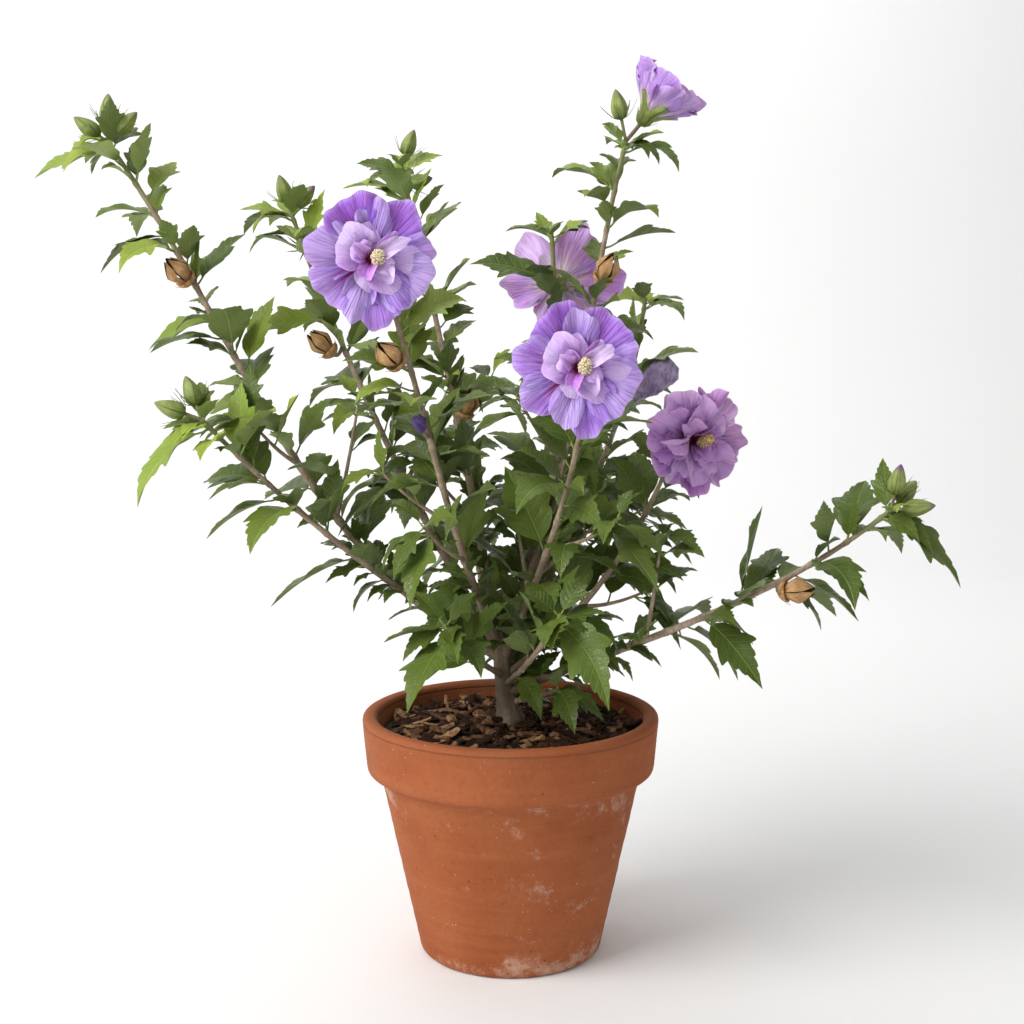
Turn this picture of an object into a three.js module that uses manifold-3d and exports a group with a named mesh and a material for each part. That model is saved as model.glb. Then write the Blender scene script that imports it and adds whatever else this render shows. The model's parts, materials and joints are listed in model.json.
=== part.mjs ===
// A hibiscus shrub with lilac double flowers, growing in a rimmed clay pot.
// Millimetres, +Z up, with the origin at the middle of the pot's underside.
import * as THREE from 'three';
import { mergeVertices } from 'three/addons/utils/BufferGeometryUtils.js';
import Module from 'manifold-3d';

const wasm = await Module();
wasm.setup();

const GAP = 0.3; // clear space where one solid meets the next
const GUARD = 0.4; // a solid is grown by this before its neighbours are cut by it or kept off it
const WELD = 1e-4; // points closer than this are one point
const CIRCLE = 2 * Math.PI;
const UP = new THREE.Vector3(0, 0, 1);
const LIGHT = new THREE.Vector3(-0.2, -0.3, 1).normalize(); // the upper faces of leaves turn this way

const POT = {
  height: 171.5,
  rim: 105, // outer radius just under the lip
  lip: 4.5, // radius of the lip's two rounded corners
  band: 102, // outer radius at the band's lower edge
  bandBottom: 133,
  shoulder: 91.5, // outer radius of the body under the band
  shoulderTop: 126,
  foot: 65.8,
  corner: 6, // radius of the rounded bottom corner
  cornerReach: 65.2, // where the curve of that corner is drawn towards
  bandCorner: [100.4, 131.6], // radius and height of the chamfer under the band
  mouth: 94.5, // inner radius under the lip
  mouthDepth: 4, // how far down the lip's inner corner reaches
  well: 57, // inner radius at the inner floor
  floor: 12, // thickness of the bottom
  segments: 36,
};

const SOIL = {
  edge: 158.5, // height of the soil at the pot's wall
  crown: 164.3, // height of the level patch that the trunk stands on
  patch: 16, // radius of that patch
  slope: [[0.7, 161.1], [0.4, 163.1]], // share of the edge's radius, and height, on the way up to it
};

const TRUNK = {
  top: 230, // height of the fork's crest
  lean: [-8.5, 1.5], // how far the top stands from the foot
  leanPower: 0.8,
  flare: 10.6, // radius at the soil
  neck: 6.4, // radius above the flare
  crest: 4.2, // radius at the top
  crestPower: 4, // the neck narrows to the crest only near the top
  flareHeight: 9,
  rings: 9,
  sides: 10,
};

// A stem rises from the trunk's axis at height foot, or from another stem at a share of its length.
// Seen from above it heads away at an angle in degrees. Its tip stands reach mm out and rise mm up.
// bow bellies it outwards, sway sideways, and early moves the belly towards the foot. bare is the
// share of it without leaves, and twigs is the number of side twigs on its leafy part.
const STEMS = {
  far_left: {
    foot: 210, heading: 176, reach: 274, rise: 360, bow: 27, early: 1.9, sway: 7,
    radius: 3.7, bare: 0.26, twigs: 2,
  },
  low_left: {
    from: 'far_left', share: 0.155, heading: -155, reach: 149, rise: 131, bow: 5, sway: 1,
    radius: 2.5, bare: 0.2, twigs: 1,
  },
  left_back: {
    foot: 213, heading: 149, reach: 184, rise: 316, bow: 12, sway: -1, radius: 3.3, bare: 0.22, twigs: 2,
  },
  left_front: {
    foot: 217, heading: -140, reach: 98, rise: 255, bow: 6, early: 2.2, sway: 2,
    radius: 3.2, bare: 0.2, twigs: 2,
  },
  mid_back: {
    foot: 221, heading: 119, reach: 159, rise: 346, bow: 21, sway: -14, radius: 3.4, bare: 0.18, twigs: 3,
  },
  mid_front: {
    foot: 208, heading: -55, reach: 94, rise: 187, bow: 5, early: -1, sway: 5,
    radius: 3, bare: 0.2, twigs: 3,
  },
  tall_right: {
    foot: 218, heading: 20, reach: 94, rise: 354, bow: 12, early: 1.8, sway: 4,
    radius: 3.4, bare: 0.2, twigs: 2,
  },
  short_right: {
    foot: 206, heading: 52, reach: 57, rise: 304, bow: 19, sway: -4, radius: 3.2, bare: 0.2, twigs: 2,
  },
  right_back: {
    foot: 199, heading: 49, reach: 166, rise: 266, bow: 19, early: -1.2, radius: 3.1, bare: 0.2, twigs: 2,
  },
  right_front: {
    foot: 196, heading: -18, reach: 117, rise: 155, bow: 13, sway: 4, radius: 2.9, bare: 0.22, twigs: 2,
  },
  low_right: {
    foot: 184, heading: -14, reach: 262, rise: 139, bow: 10, early: -1.4, sway: -7,
    radius: 3.4, bare: 0.3, twigs: 1,
  },
  rear_left: {
    foot: 203, heading: 100, reach: 170, rise: 142, bow: 14, sway: 3, radius: 2.9, bare: 0.2, twigs: 2,
  },
  rear_right: {
    foot: 192, heading: 68, reach: 186, rise: 138, bow: 12, sway: -4, radius: 2.9, bare: 0.2, twigs: 2,
  },
  low_front_left: { foot: 197, heading: -118, reach: 82, rise: 50, bow: 4, radius: 2.2, bare: 0, twigs: 1 },
  low_front_right: { foot: 190, heading: -66, reach: 90, rise: 66, bow: 4, radius: 2.2, bare: 0, twigs: 1 },
  low_sprig: { foot: 178, heading: -32, reach: 42, rise: 14, bow: 2, radius: 1.6, bare: 0, twigs: 0 },
};
const STEM = {
  tip: 1.5, // radius
  taper: 0.8, // power by which the radius falls along the stem
  limbSides: 7,
  limbRings: 5,
  stemSides: 5,
  stemRing: 42, // from one ring of a leafy stem to the next
};

// Leaves stand one to a node in a spiral, counted from the stem's tip down. What varies from leaf to
// leaf is given as [least, spread].
const LEAF = {
  length: 56, // blade, without its stalk
  lengths: [0.86, 0.32],
  young: 0.9, // size of a stem's top leaf beside a full-grown one
  growth: 0.04, // and how much larger each leaf below it is
  stalk: 10,
  stalks: [0.7, 0.5],
  lobeAt: 0.5, // the side lobes' tips, as a share of the blade
  lobeHalf: 0.36,
  lobeRib: 0.4, // where the rib is reached level with the lobes' tips
  waistAt: 0.57, // the notches above the lobes
  waistHalf: 0.18,
  waistRib: 0.54,
  waistThick: 1.1,
  ribThick: 1.3,
  stalkHalf: 0.9,
  fold: 0.36, // radians that each half is raised
  tipGap: 9,
  baseGap: 0.05, // share of a stem that its lowest leaf stays clear of the bough's end
  turn: THREE.MathUtils.degToRad(-90), // the top leaf of a stem points outwards
  turnSpread: 0.6,
  spiral: THREE.MathUtils.degToRad(137.5),
  rise: THREE.MathUtils.degToRad(32), // up from square to the stem
  riseSpread: 0.35,
  droop: 0.85,
  droops: [0.6, 0.85],
  drawBack: 0.35, // how much the drooping end comes nearer again
  roll: THREE.MathUtils.degToRad(24),
  step: 0.01, // share of the blade over which the rib's slope is taken
};
const TWIG = {
  length: 58,
  lengths: [0.8, 0.45],
  radius: 1.3,
  taper: 0.7, // radius of the tip as a share of the foot's
  first: 0.07, // share of the stem between its lowest leaf and its first twig
  spacing: 0.1,
  turn: 1.3, // radians that the twigs of each stem are turned from those of the stem before
  rise: 0.7,
  lift: 0.25,
  bare: 0.25,
  rings: 4,
  sides: 4,
};
// From one leaf to the next, the leaves' size, and whether they are cut to their lobes.
const ON_STEM = { pitch: 27, scale: 1, lobed: true };
const ON_TWIG = { pitch: 19, scale: 0.82, lobed: false };

// Buds and dry seed pods, by stem: the share of the stem they stand at, then how far out from it
// their middle is, as x, y and z.
const BUDS = {
  far_left: [[1, -12, -5, 9], [1, 1, 2, 22], [1, 15, -3, 12]],
  low_left: [[1, -19, -4, 7], [1, -7, 5, 18]],
  left_back: [[1, -4, -5, 15], [1, 12, -4, 10], [0.91, 1, -15, 4]],
  mid_back: [[1, 7, -3, 16], [0.96, 12, -6, 2]],
  tall_right: [[1, -6, -4, 24]],
  low_right: [[1, 2, -4, 20], [1, 16, -6, 2], [1, 12, 9, 11]],
  rear_left: [[1, -2, 6, 18]],
  rear_right: [[1, 4, 8, 16]],
};
const BUD = {
  length: 21,
  radius: 5.4,
  stalk: 1.1,
  sides: 5,
  profile: [[0.3, 1], [0.62, 0.85]], // shares of the length and of the radius
};
const PODS = {
  far_left: [[0.77, -3, -13, -2]],
  left_back: [[0.7, -14, -10, 1]],
  left_front: [[0.82, -10, -12, -2]],
  mid_back: [[0.5, 11, -12, 0]],
  tall_right: [[0.75, 5, -13, 0]],
  low_right: [[0.71, 9, -9, -5]],
};
const POD = {
  length: 24,
  radius: 8.5,
  wall: 2.2,
  valves: 5,
  stalk: 1.4,
  floor: 0.25, // where the hollow ends, as a share of the length
  belly: 0.4, // where it is widest
  notch: 0.68, // where the valves part
  rim: 0.85, // radius of the rim as a share of the belly's
};

// Flowers, each on a stalk of its own from a share of its stem. middle is the centre of the
// corolla's rim, facing is the way it looks, and depth is how far the rim stands above the calyx.
const FLOWERS = {
  flower_upper_left: {
    stem: 'left_front', share: 1, middle: [-88, -84, 485], facing: [0.09, -1, -0.04], radius: 43.5, depth: 13,
  },
  flower_middle: {
    stem: 'mid_front', share: 1, middle: [42, -108, 417], facing: [-0.05, -1, 0.03], radius: 42.5, depth: 13,
  },
  flower_behind: {
    stem: 'short_right', share: 0.85, middle: [39, 75, 477], facing: [0.28, 0.93, 0.2], radius: 46, depth: 18,
  },
  flower_right: {
    stem: 'right_front', share: 1, middle: [126, -47, 366], facing: [0.38, -0.9, -0.1], radius: 38, depth: 16,
  },
  flower_top: {
    stem: 'tall_right', share: 1, middle: [117, 43, 616], facing: [0.62, -0.12, 0.76], radius: 27, depth: 27,
  },
};
const FLOWER = {
  points: 15, // round the rim
  throat: 5,
  petals: 5,
  scallop: 0.05, // how much the rim is drawn in between the petals, as a share of its radius
  ruffle: 2.4,
  rufflePhase: 0.8,
  thick: 1.6,
  bend: [0.5, 0.62], // the petals' steep part ends at these shares of the radius and of the depth
  calyxLength: 14,
  calyxRadius: 6.5,
  calyxShoulder: 4, // height at which the calyx is at its full radius
  stalk: 1.5,
  stalkSides: 4,
  stalkRings: 4,
  rosette: 0.56, // radius of the inner petals, as a share of the corolla's
  rosetteFoot: 1.92,
  rosettePoints: 12,
  rosettePetals: 4,
  rosetteRuffle: 4.3,
  rosetteLift: 9,
  column: 3.2,
  columnSink: 2,
  columnLength: 16,
  heart: 0.6, // share of the depth that the rosette and the column are measured from
};
const WITHERED = {
  stem: 'right_back',
  share: 0.76,
  foot: [5, -10, -4],
  tip: [35, -15, 24],
  radius: 11,
  sides: 8,
  profile: [[0, 0.25], [0.25, 0.6], [0.6, 1], [0.9, 0.85], [1, 0.35]], // shares of the length and radius
};

const FINISH = {
  clay: { color: 0xb5603a, roughness: 0.85, metalness: 0 },
  soil: { color: 0x3f2c20, roughness: 1, metalness: 0 },
  bark: { color: 0x8a735c, roughness: 0.8, metalness: 0 },
  leaf: { color: 0x3f6b22, roughness: 0.55, metalness: 0 },
  petal: { color: 0xa884d6, roughness: 0.6, metalness: 0 },
  withered: { color: 0x6f5c86, roughness: 0.8, metalness: 0 },
};

// A number from 0 to 1 that depends only on its two arguments.
function wobble(seed, step) {
  const wave = Math.sin(seed * 127.1 + step * 311.7) * 43758.5453;
  return wave - Math.floor(wave);
}

function varied([least, spread], seed, step) {
  return least + spread * wobble(seed, step);
}

function solidFrom(geometry) {
  geometry.deleteAttribute('normal');
  geometry.deleteAttribute('uv');
  const merged = mergeVertices(geometry, WELD);
  const mesh = new wasm.Mesh({
    numProp: 3,
    vertProperties: new Float32Array(merged.attributes.position.array),
    triVerts: new Uint32Array(merged.index.array),
  });
  return new wasm.Manifold(mesh);
}

// A closed solid skinned over rings of points that turn anticlockwise about the way from the first
// ring to the last. The first and the last ring may be a single point. Each quad is split the other
// way from the one before it, so that the two skins of a thin sheet bend alike and never cross. From
// ring number back on, the skin returns over the rings before it.
function loft(rings, back = rings.length) {
  const positions = [];
  const starts = [];
  for (const ring of rings) {
    starts.push(positions.length / 3);
    ring.forEach((point) => positions.push(point.x, point.y, point.z));
  }
  const sides = Math.max(...rings.map((ring) => ring.length));
  const corner = (ring, side) => starts[ring] + (rings[ring].length > 1 ? side % sides : 0);
  const faces = [];
  for (let ring = 0; ring + 1 < rings.length; ring += 1) {
    for (let side = 0; side < sides; side += 1) {
      const a = corner(ring, side);
      const b = corner(ring, side + 1);
      const c = corner(ring + 1, side + 1);
      const d = corner(ring + 1, side);
      const swapped = (side + (ring >= back ? 1 : 0)) % 2 > 0;
      if (a !== b) faces.push(a, b, swapped ? d : c);
      if (c !== d) faces.push(swapped ? b : a, c, d);
    }
  }
  const last = rings.length - 1;
  for (let side = 1; side + 1 < sides; side += 1) {
    if (rings[0].length > 1) faces.push(corner(0, 0), corner(0, side + 1), corner(0, side));
    if (rings[last].length > 1) faces.push(corner(last, 0), corner(last, side), corner(last, side + 1));
  }
  const geometry = new THREE.BufferGeometry();
  geometry.setAttribute('position', new THREE.Float32BufferAttribute(positions, 3));
  geometry.setIndex(faces);
  return solidFrom(geometry);
}

// The largest of a solid's bodies, which leaves out loose scraps and sealed hollows.
function wholeBody(solid) {
  return solid.decompose().reduce((best, body) => (body.volume() > best.volume() ? body : best));
}

function cutClear(solid, guards) {
  return wholeBody(guards.reduce((left, guard) => left.subtract(guard), solid));
}

function touches(solid, guards) {
  return guards.some((guard) => !solid.intersect(guard).isEmpty());
}

// The trunk's axis, which leans more towards its top. A share of 0 is the soil and 1 the crest.
class TrunkAxis extends THREE.Curve {
  getPoint(share) {
    const lean = Math.max(share, 0) ** TRUNK.leanPower;
    const foot = SOIL.crown + GAP;
    return new THREE.Vector3(TRUNK.lean[0] * lean, TRUNK.lean[1] * lean, foot + (TRUNK.top - foot) * share);
  }

  // Its rings lie level, so that the foot is a flat cut.
  getTangent() {
    return UP.clone();
  }
}
const trunkAxis = new TrunkAxis();
trunkAxis.side = new THREE.Vector3(0, 1, 0);

// A stem's centreline: a straight way from foot to tip, bellied outwards and sideways.
class StemCurve extends THREE.Curve {
  constructor(foot, { heading, reach, rise, bow, early = 0, sway = 0 }) {
    super();
    const angle = THREE.MathUtils.degToRad(heading);
    const way = new THREE.Vector3(Math.cos(angle), Math.sin(angle), 0);
    this.foot = foot;
    this.chord = way.clone().multiplyScalar(reach).addScaledVector(UP, rise);
    this.size = this.chord.length();
    this.side = new THREE.Vector3().crossVectors(UP, way);
    this.out = new THREE.Vector3().crossVectors(this.side, this.chord).normalize();
    if (this.out.z > 0) this.out.negate();
    Object.assign(this, { bow, early, sway });
  }

  getPoint(share) {
    const belly = 4 * share * (1 - share);
    const outwards = belly * this.bow * (1 + this.early * (0.5 - share));
    return this.foot.clone()
      .addScaledVector(this.chord, share)
      .addScaledVector(this.out, outwards)
      .addScaledVector(this.side, belly * this.sway);
  }
}

// A side twig's centreline: straight away from its root, then lifted a little.
class TwigCurve extends THREE.Curve {
  constructor(root, way, size) {
    super();
    this.size = size;
    this.root = root;
    this.way = way;
    this.side = new THREE.Vector3().crossVectors(UP, way).normalize();
  }

  getPoint(share) {
    return this.root.clone()
      .addScaledVector(this.way, share * this.size)
      .addScaledVector(UP, share * share * this.size * TWIG.lift);
  }
}

// Two directions square to a curve: the first runs sideways, the second up or inwards.
function frameAt(curve, share) {
  const tangent = curve.getTangent(THREE.MathUtils.clamp(share, 0, 1));
  const across = curve.side.clone().addScaledVector(tangent, -curve.side.dot(tangent)).normalize();
  const inwards = new THREE.Vector3().crossVectors(tangent, across);
  return { tangent, across, inwards };
}

function ringAt(curve, share, radius, sides) {
  const middle = curve.getPoint(share);
  const { across, inwards } = frameAt(curve, share);
  return Array.from({ length: sides }, (unused, side) => {
    const angle = (CIRCLE * side) / sides;
    return middle.clone()
      .addScaledVector(across, radius * Math.cos(angle))
      .addScaledVector(inwards, radius * Math.sin(angle));
  });
}

// A tapering limb between two shares of a curve.
function limb(curve, from, to, radiusAt, rings, sides) {
  const shares = Array.from({ length: rings }, (unused, ring) => from + ((to - from) * ring) / (rings - 1));
  return loft(shares.map((share) => ringAt(curve, share, radiusAt(share), sides)));
}

function trunkRadius(share) {
  const height = share * (TRUNK.top - SOIL.crown);
  const flare = (TRUNK.flare - TRUNK.neck) * Math.exp(-height / TRUNK.flareHeight);
  return THREE.MathUtils.lerp(TRUNK.neck, TRUNK.crest, share ** TRUNK.crestPower) + flare;
}

// A leaf with its stalk. Its rib starts along way and droops, and each half is raised by the fold.
function leaf({ root, way, across, length, stalk, droop, lobed }, grow = 0) {
  const sections = [
    { at: -stalk / length, rib: -stalk / length, half: LEAF.stalkHalf, thick: LEAF.stalkHalf * 2 },
    { at: 0, rib: 0, half: LEAF.stalkHalf, thick: LEAF.ribThick },
    { at: LEAF.lobeAt, rib: LEAF.lobeRib, half: LEAF.lobeHalf * length, thick: LEAF.ribThick },
  ];
  if (lobed) {
    const waist = LEAF.waistHalf * length;
    sections.push({ at: LEAF.waistAt, rib: LEAF.waistRib, half: waist, thick: LEAF.waistThick });
  }
  const blade = root.clone().addScaledVector(way, stalk);
  const onRib = (share) => {
    const sag = (Math.max(share, 0) ** 2 * droop * length) / 2;
    const out = share * length - sag * LEAF.drawBack * droop * share;
    return blade.clone().addScaledVector(way, out).addScaledVector(UP, -sag);
  };
  const rings = sections.map(({ at, rib, half, thick }) => {
    const raise = at > 0 ? LEAF.fold : 0;
    const heading = onRib(rib + LEAF.step).sub(onRib(rib - LEAF.step));
    const normal = new THREE.Vector3().crossVectors(across, heading).normalize();
    const edge = (sign) => onRib(at)
      .addScaledVector(across, sign * (half + grow) * Math.cos(raise))
      .addScaledVector(normal, half * Math.sin(raise));
    const middle = onRib(rib);
    const halfThick = thick / 2 + grow;
    return [
      edge(-1),
      middle.clone().addScaledVector(normal, halfThick),
      edge(1),
      middle.clone().addScaledVector(normal, -halfThick),
    ];
  });
  rings.push([onRib(1 + grow / length)]);
  return loft(rings);
}

// How the leaf at one node of a curve stands.
function leafAt(curve, share, azimuth, seed, step) {
  const { tangent, across, inwards } = frameAt(curve, share);
  const rise = LEAF.rise + LEAF.riseSpread * (wobble(seed, step + 0.3) - 0.5);
  const way = across.multiplyScalar(Math.cos(azimuth) * Math.cos(rise))
    .addScaledVector(inwards, Math.sin(azimuth) * Math.cos(rise))
    .addScaledVector(tangent, Math.sin(rise))
    .normalize();
  const roll = LEAF.roll * (2 * wobble(seed, step + 0.6) - 1);
  return {
    root: curve.getPoint(share),
    way,
    across: new THREE.Vector3().crossVectors(way, LIGHT).normalize().applyAxisAngle(way, roll),
    stalk: LEAF.stalk * varied(LEAF.stalks, seed, step + 0.8),
    droop: LEAF.droop * varied(LEAF.droops, seed, step + 0.1) * Math.hypot(way.x, way.y),
  };
}

// The leaves of a stem or twig, from its tip down to a share of its length.
function leavesOn(curve, seed, { pitch, scale, lobed }, lowest) {
  const leaves = [];
  for (let step = 0; ; step += 1) {
    const share = 1 - (LEAF.tipGap + step * pitch) / curve.size;
    if (share < lowest) return leaves;
    const grown = Math.min(1, LEAF.young + LEAF.growth * step);
    const length = LEAF.length * scale * grown * varied(LEAF.lengths, seed, step);
    const azimuth = LEAF.turn + LEAF.turnSpread * (wobble(seed, 0.5) - 0.5) + step * LEAF.spiral;
    leaves.push({ ...leafAt(curve, share, azimuth, seed, step), length, lobed });
  }
}

// The side twigs of a stem, from its lowest leaves up.
function twigsOn(curve, seed, { bare, twigs }) {
  return Array.from({ length: twigs }, (unused, step) => {
    const share = bare + TWIG.first + step * TWIG.spacing;
    const { tangent, across, inwards } = frameAt(curve, share);
    const azimuth = seed * TWIG.turn + step * 2 * LEAF.spiral;
    const way = across.multiplyScalar(Math.cos(azimuth))
      .addScaledVector(inwards, Math.sin(azimuth))
      .addScaledVector(tangent, TWIG.rise)
      .normalize();
    return new TwigCurve(curve.getPoint(share), way, TWIG.length * varied(TWIG.lengths, seed, step + 0.5));
  });
}

// A spindle on a thin stalk, from a stem's centreline to its own tip.
function bud(root, middle) {
  const way = middle.clone().sub(root).normalize();
  const axis = new THREE.LineCurve3(root, middle.clone().addScaledVector(way, BUD.length / 2));
  axis.side = new THREE.Vector3().crossVectors(way, LIGHT).normalize();
  const size = axis.getLength();
  const onBud = (share) => 1 - (BUD.length * (1 - share)) / size;
  return loft([
    ringAt(axis, 0, BUD.stalk, BUD.sides),
    ringAt(axis, onBud(0), BUD.stalk, BUD.sides),
    ...BUD.profile.map(([share, width]) => ringAt(axis, onBud(share), BUD.radius * width, BUD.sides)),
    [axis.getPoint(1)],
  ]);
}

// A dry seed pod: a cup whose rim is split into pointed valves.
function pod(root, middle) {
  const way = middle.clone().sub(root).normalize();
  const axis = new THREE.LineCurve3(root, middle.clone().addScaledVector(way, POD.length / 2));
  axis.side = new THREE.Vector3().crossVectors(way, LIGHT).normalize();
  const size = axis.getLength();
  const points = POD.valves * 2;
  const onPod = (share) => 1 - (POD.length * (1 - share)) / size;
  const rim = (radius) => {
    const high = ringAt(axis, 1, radius, points);
    const low = ringAt(axis, onPod(POD.notch), radius, points);
    return high.map((point, index) => (index % 2 ? low[index] : point));
  };
  return loft([
    ringAt(axis, 0, POD.stalk, points),
    ringAt(axis, onPod(0), POD.stalk, points),
    ringAt(axis, onPod(POD.belly), POD.radius, points),
    rim(POD.radius * POD.rim),
    rim(POD.radius * POD.rim - POD.wall),
    ringAt(axis, onPod(POD.belly), POD.radius - POD.wall, points),
    [axis.getPoint(onPod(POD.floor))],
  ]);
}

// A ruffled sheet turned about a flower's own axis, given as rings of [radius, height]. The last
// height is the rim's, and the sheet comes back underneath at its thickness.
function petalSheet(profile, points, petals, ruffle) {
  const ring = ([radius, height], drop, waviness) => Array.from({ length: points }, (unused, index) => {
    const angle = (CIRCLE * index) / points;
    const out = radius * (1 - FLOWER.scallop * waviness * (1 - Math.cos(petals * angle)));
    const wave = ruffle * waviness * Math.sin(2 * petals * angle + FLOWER.rufflePhase);
    return new THREE.Vector3(out * Math.cos(angle), out * Math.sin(angle), height - drop + wave);
  });
  const rim = profile.length - 1;
  const waviness = (index) => (index / rim) ** 2;
  const under = profile.map((station, index) => ring(station, FLOWER.thick, waviness(index)));
  const over = profile.map((station, index) => ring(station, 0, waviness(index)));
  return loft([...under.slice(0, rim), ...over.slice().reverse()], rim);
}

// A double flower with its calyx, looking along +Z from the calyx's foot at the origin.
function flowerHead({ radius, depth }) {
  const base = FLOWER.calyxLength;
  const heart = base + depth * FLOWER.heart;
  const [bendOut, bendUp] = FLOWER.bend;
  const corolla = petalSheet(
    [[FLOWER.throat, base - 1], [radius * bendOut, base + depth * bendUp], [radius, base + depth]],
    FLOWER.points,
    FLOWER.petals,
    FLOWER.ruffle,
  );
  const rosette = petalSheet(
    [[FLOWER.rosetteFoot, base + FLOWER.thick * 2], [radius * FLOWER.rosette, heart + FLOWER.rosetteLift]],
    FLOWER.rosettePoints,
    FLOWER.rosettePetals,
    FLOWER.rosetteRuffle,
  );
  const axis = new THREE.LineCurve3(new THREE.Vector3(), new THREE.Vector3(0, 0, 1));
  axis.side = new THREE.Vector3(1, 0, 0);
  const turned = (stations) => loft(stations.map(([r, z]) => ringAt(axis, z, r, FLOWER.petals)));
  const calyx = turned([
    [FLOWER.stalk, 0],
    [FLOWER.calyxRadius, FLOWER.calyxShoulder],
    [FLOWER.calyxRadius, base],
  ]);
  const column = turned([
    [FLOWER.column, base - FLOWER.columnSink],
    [FLOWER.column, heart + FLOWER.columnLength],
  ]);
  return corolla.add(rosette).add(calyx).add(column);
}

// Turns a solid that looks along +Z to a new direction, then moves its origin.
function placed(solid, facing, origin) {
  const turn = new THREE.Quaternion().setFromUnitVectors(UP, facing);
  const matrix = new THREE.Matrix4().compose(origin, turn, new THREE.Vector3(1, 1, 1));
  return solid.transform(matrix.elements);
}

// A stalk from a stem's surface to a flower's calyx, which it meets straight on.
function stalk(start, calyx, facing, radius) {
  const reach = start.distanceTo(calyx) / 2;
  const curve = new THREE.QuadraticBezierCurve3(start, calyx.clone().addScaledVector(facing, -reach), calyx);
  curve.side = new THREE.Vector3().crossVectors(facing, LIGHT).normalize();
  return limb(curve, 0, 1, () => radius, FLOWER.stalkRings, FLOWER.stalkSides);
}

function flower(curve, spec) {
  const facing = new THREE.Vector3(...spec.facing).normalize();
  const middle = new THREE.Vector3(...spec.middle);
  const foot = middle.clone().addScaledVector(facing, -(spec.depth + FLOWER.calyxLength));
  const head = placed(flowerHead(spec), facing, foot);
  const inCalyx = foot.clone().addScaledVector(facing, 1);
  return head.add(stalk(curve.getPoint(spec.share), inCalyx, facing, FLOWER.stalk));
}

// A flower that has withered and rolled itself shut.
function witheredFlower(curve) {
  const root = curve.getPoint(WITHERED.share).add(new THREE.Vector3(...WITHERED.foot));
  const tip = curve.getPoint(WITHERED.share).add(new THREE.Vector3(...WITHERED.tip));
  const axis = new THREE.LineCurve3(root, tip);
  axis.side = new THREE.Vector3(0, 1, 0);
  const ring = ([share, width]) => ringAt(axis, share, WITHERED.radius * width, WITHERED.sides);
  return loft(WITHERED.profile.map(ring));
}

function potSolid() {
  const outline = new THREE.Path();
  const innerSlope = Math.atan2(POT.mouth - POT.well, POT.height - POT.floor);
  outline.moveTo(0, 0);
  outline.lineTo(POT.foot - POT.corner, 0);
  outline.quadraticCurveTo(POT.cornerReach, 0, POT.foot, POT.corner);
  outline.lineTo(POT.shoulder, POT.shoulderTop);
  outline.lineTo(...POT.bandCorner);
  outline.lineTo(POT.band, POT.bandBottom);
  outline.lineTo(POT.rim, POT.height - POT.lip);
  outline.quadraticCurveTo(POT.rim, POT.height, POT.rim - POT.lip, POT.height);
  outline.quadraticCurveTo(POT.mouth, POT.height, POT.mouth, POT.height - POT.lip);
  outline.lineTo(POT.mouth - POT.mouthDepth * Math.tan(innerSlope), POT.height - POT.lip - POT.mouthDepth);
  outline.lineTo(POT.well, POT.floor);
  outline.lineTo(0, POT.floor);
  const profile = outline.getPoints(2);
  return solidFrom(new THREE.LatheGeometry(profile, POT.segments).rotateX(Math.PI / 2));
}

// The inner radius of the pot at a height.
function wellRadius(height) {
  return THREE.MathUtils.mapLinear(height, POT.floor, POT.height - POT.lip, POT.well, POT.mouth);
}

function soilSolid() {
  const bottom = POT.floor + GAP;
  const wallGap = GAP * 1.3; // the gap is taken square to the sloping wall
  const edge = wellRadius(SOIL.edge);
  const profile = [
    [0, bottom],
    [wellRadius(bottom) - wallGap, bottom],
    [edge - wallGap, SOIL.edge],
    ...SOIL.slope.map(([share, height]) => [edge * share, height]),
    [SOIL.patch, SOIL.crown],
    [0, SOIL.crown],
  ];
  const points = profile.map(([radius, height]) => new THREE.Vector2(radius, height));
  return solidFrom(new THREE.LatheGeometry(points, POT.segments).rotateX(Math.PI / 2));
}

const part = new THREE.Group();

function show(name, solid, finish) {
  const { numProp, vertProperties, triVerts } = solid.getMesh();
  const positions = [];
  for (let index = 0; index < vertProperties.length; index += numProp) {
    positions.push(...vertProperties.subarray(index, index + 3));
  }
  const geometry = new THREE.BufferGeometry();
  geometry.setAttribute('position', new THREE.Float32BufferAttribute(positions, 3));
  geometry.setIndex(Array.from(triVerts));
  geometry.computeVertexNormals();
  const mesh = new THREE.Mesh(geometry, new THREE.MeshStandardMaterial(FINISH[finish]));
  mesh.name = name;
  part.add(mesh);
}

const pot = potSolid();
const soil = soilSolid();
show('pot', pot, 'clay');
show('soil', soil, 'soil');

const trunk = limb(trunkAxis, 0, 1, trunkRadius, TRUNK.rings, TRUNK.sides);
const trunkGrown = (share) => trunkRadius(share) + GUARD;
const trunkGuard = limb(trunkAxis, -0.01, 1.01, trunkGrown, TRUNK.rings, TRUNK.sides);
show('trunk', trunk, 'bark');

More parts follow.
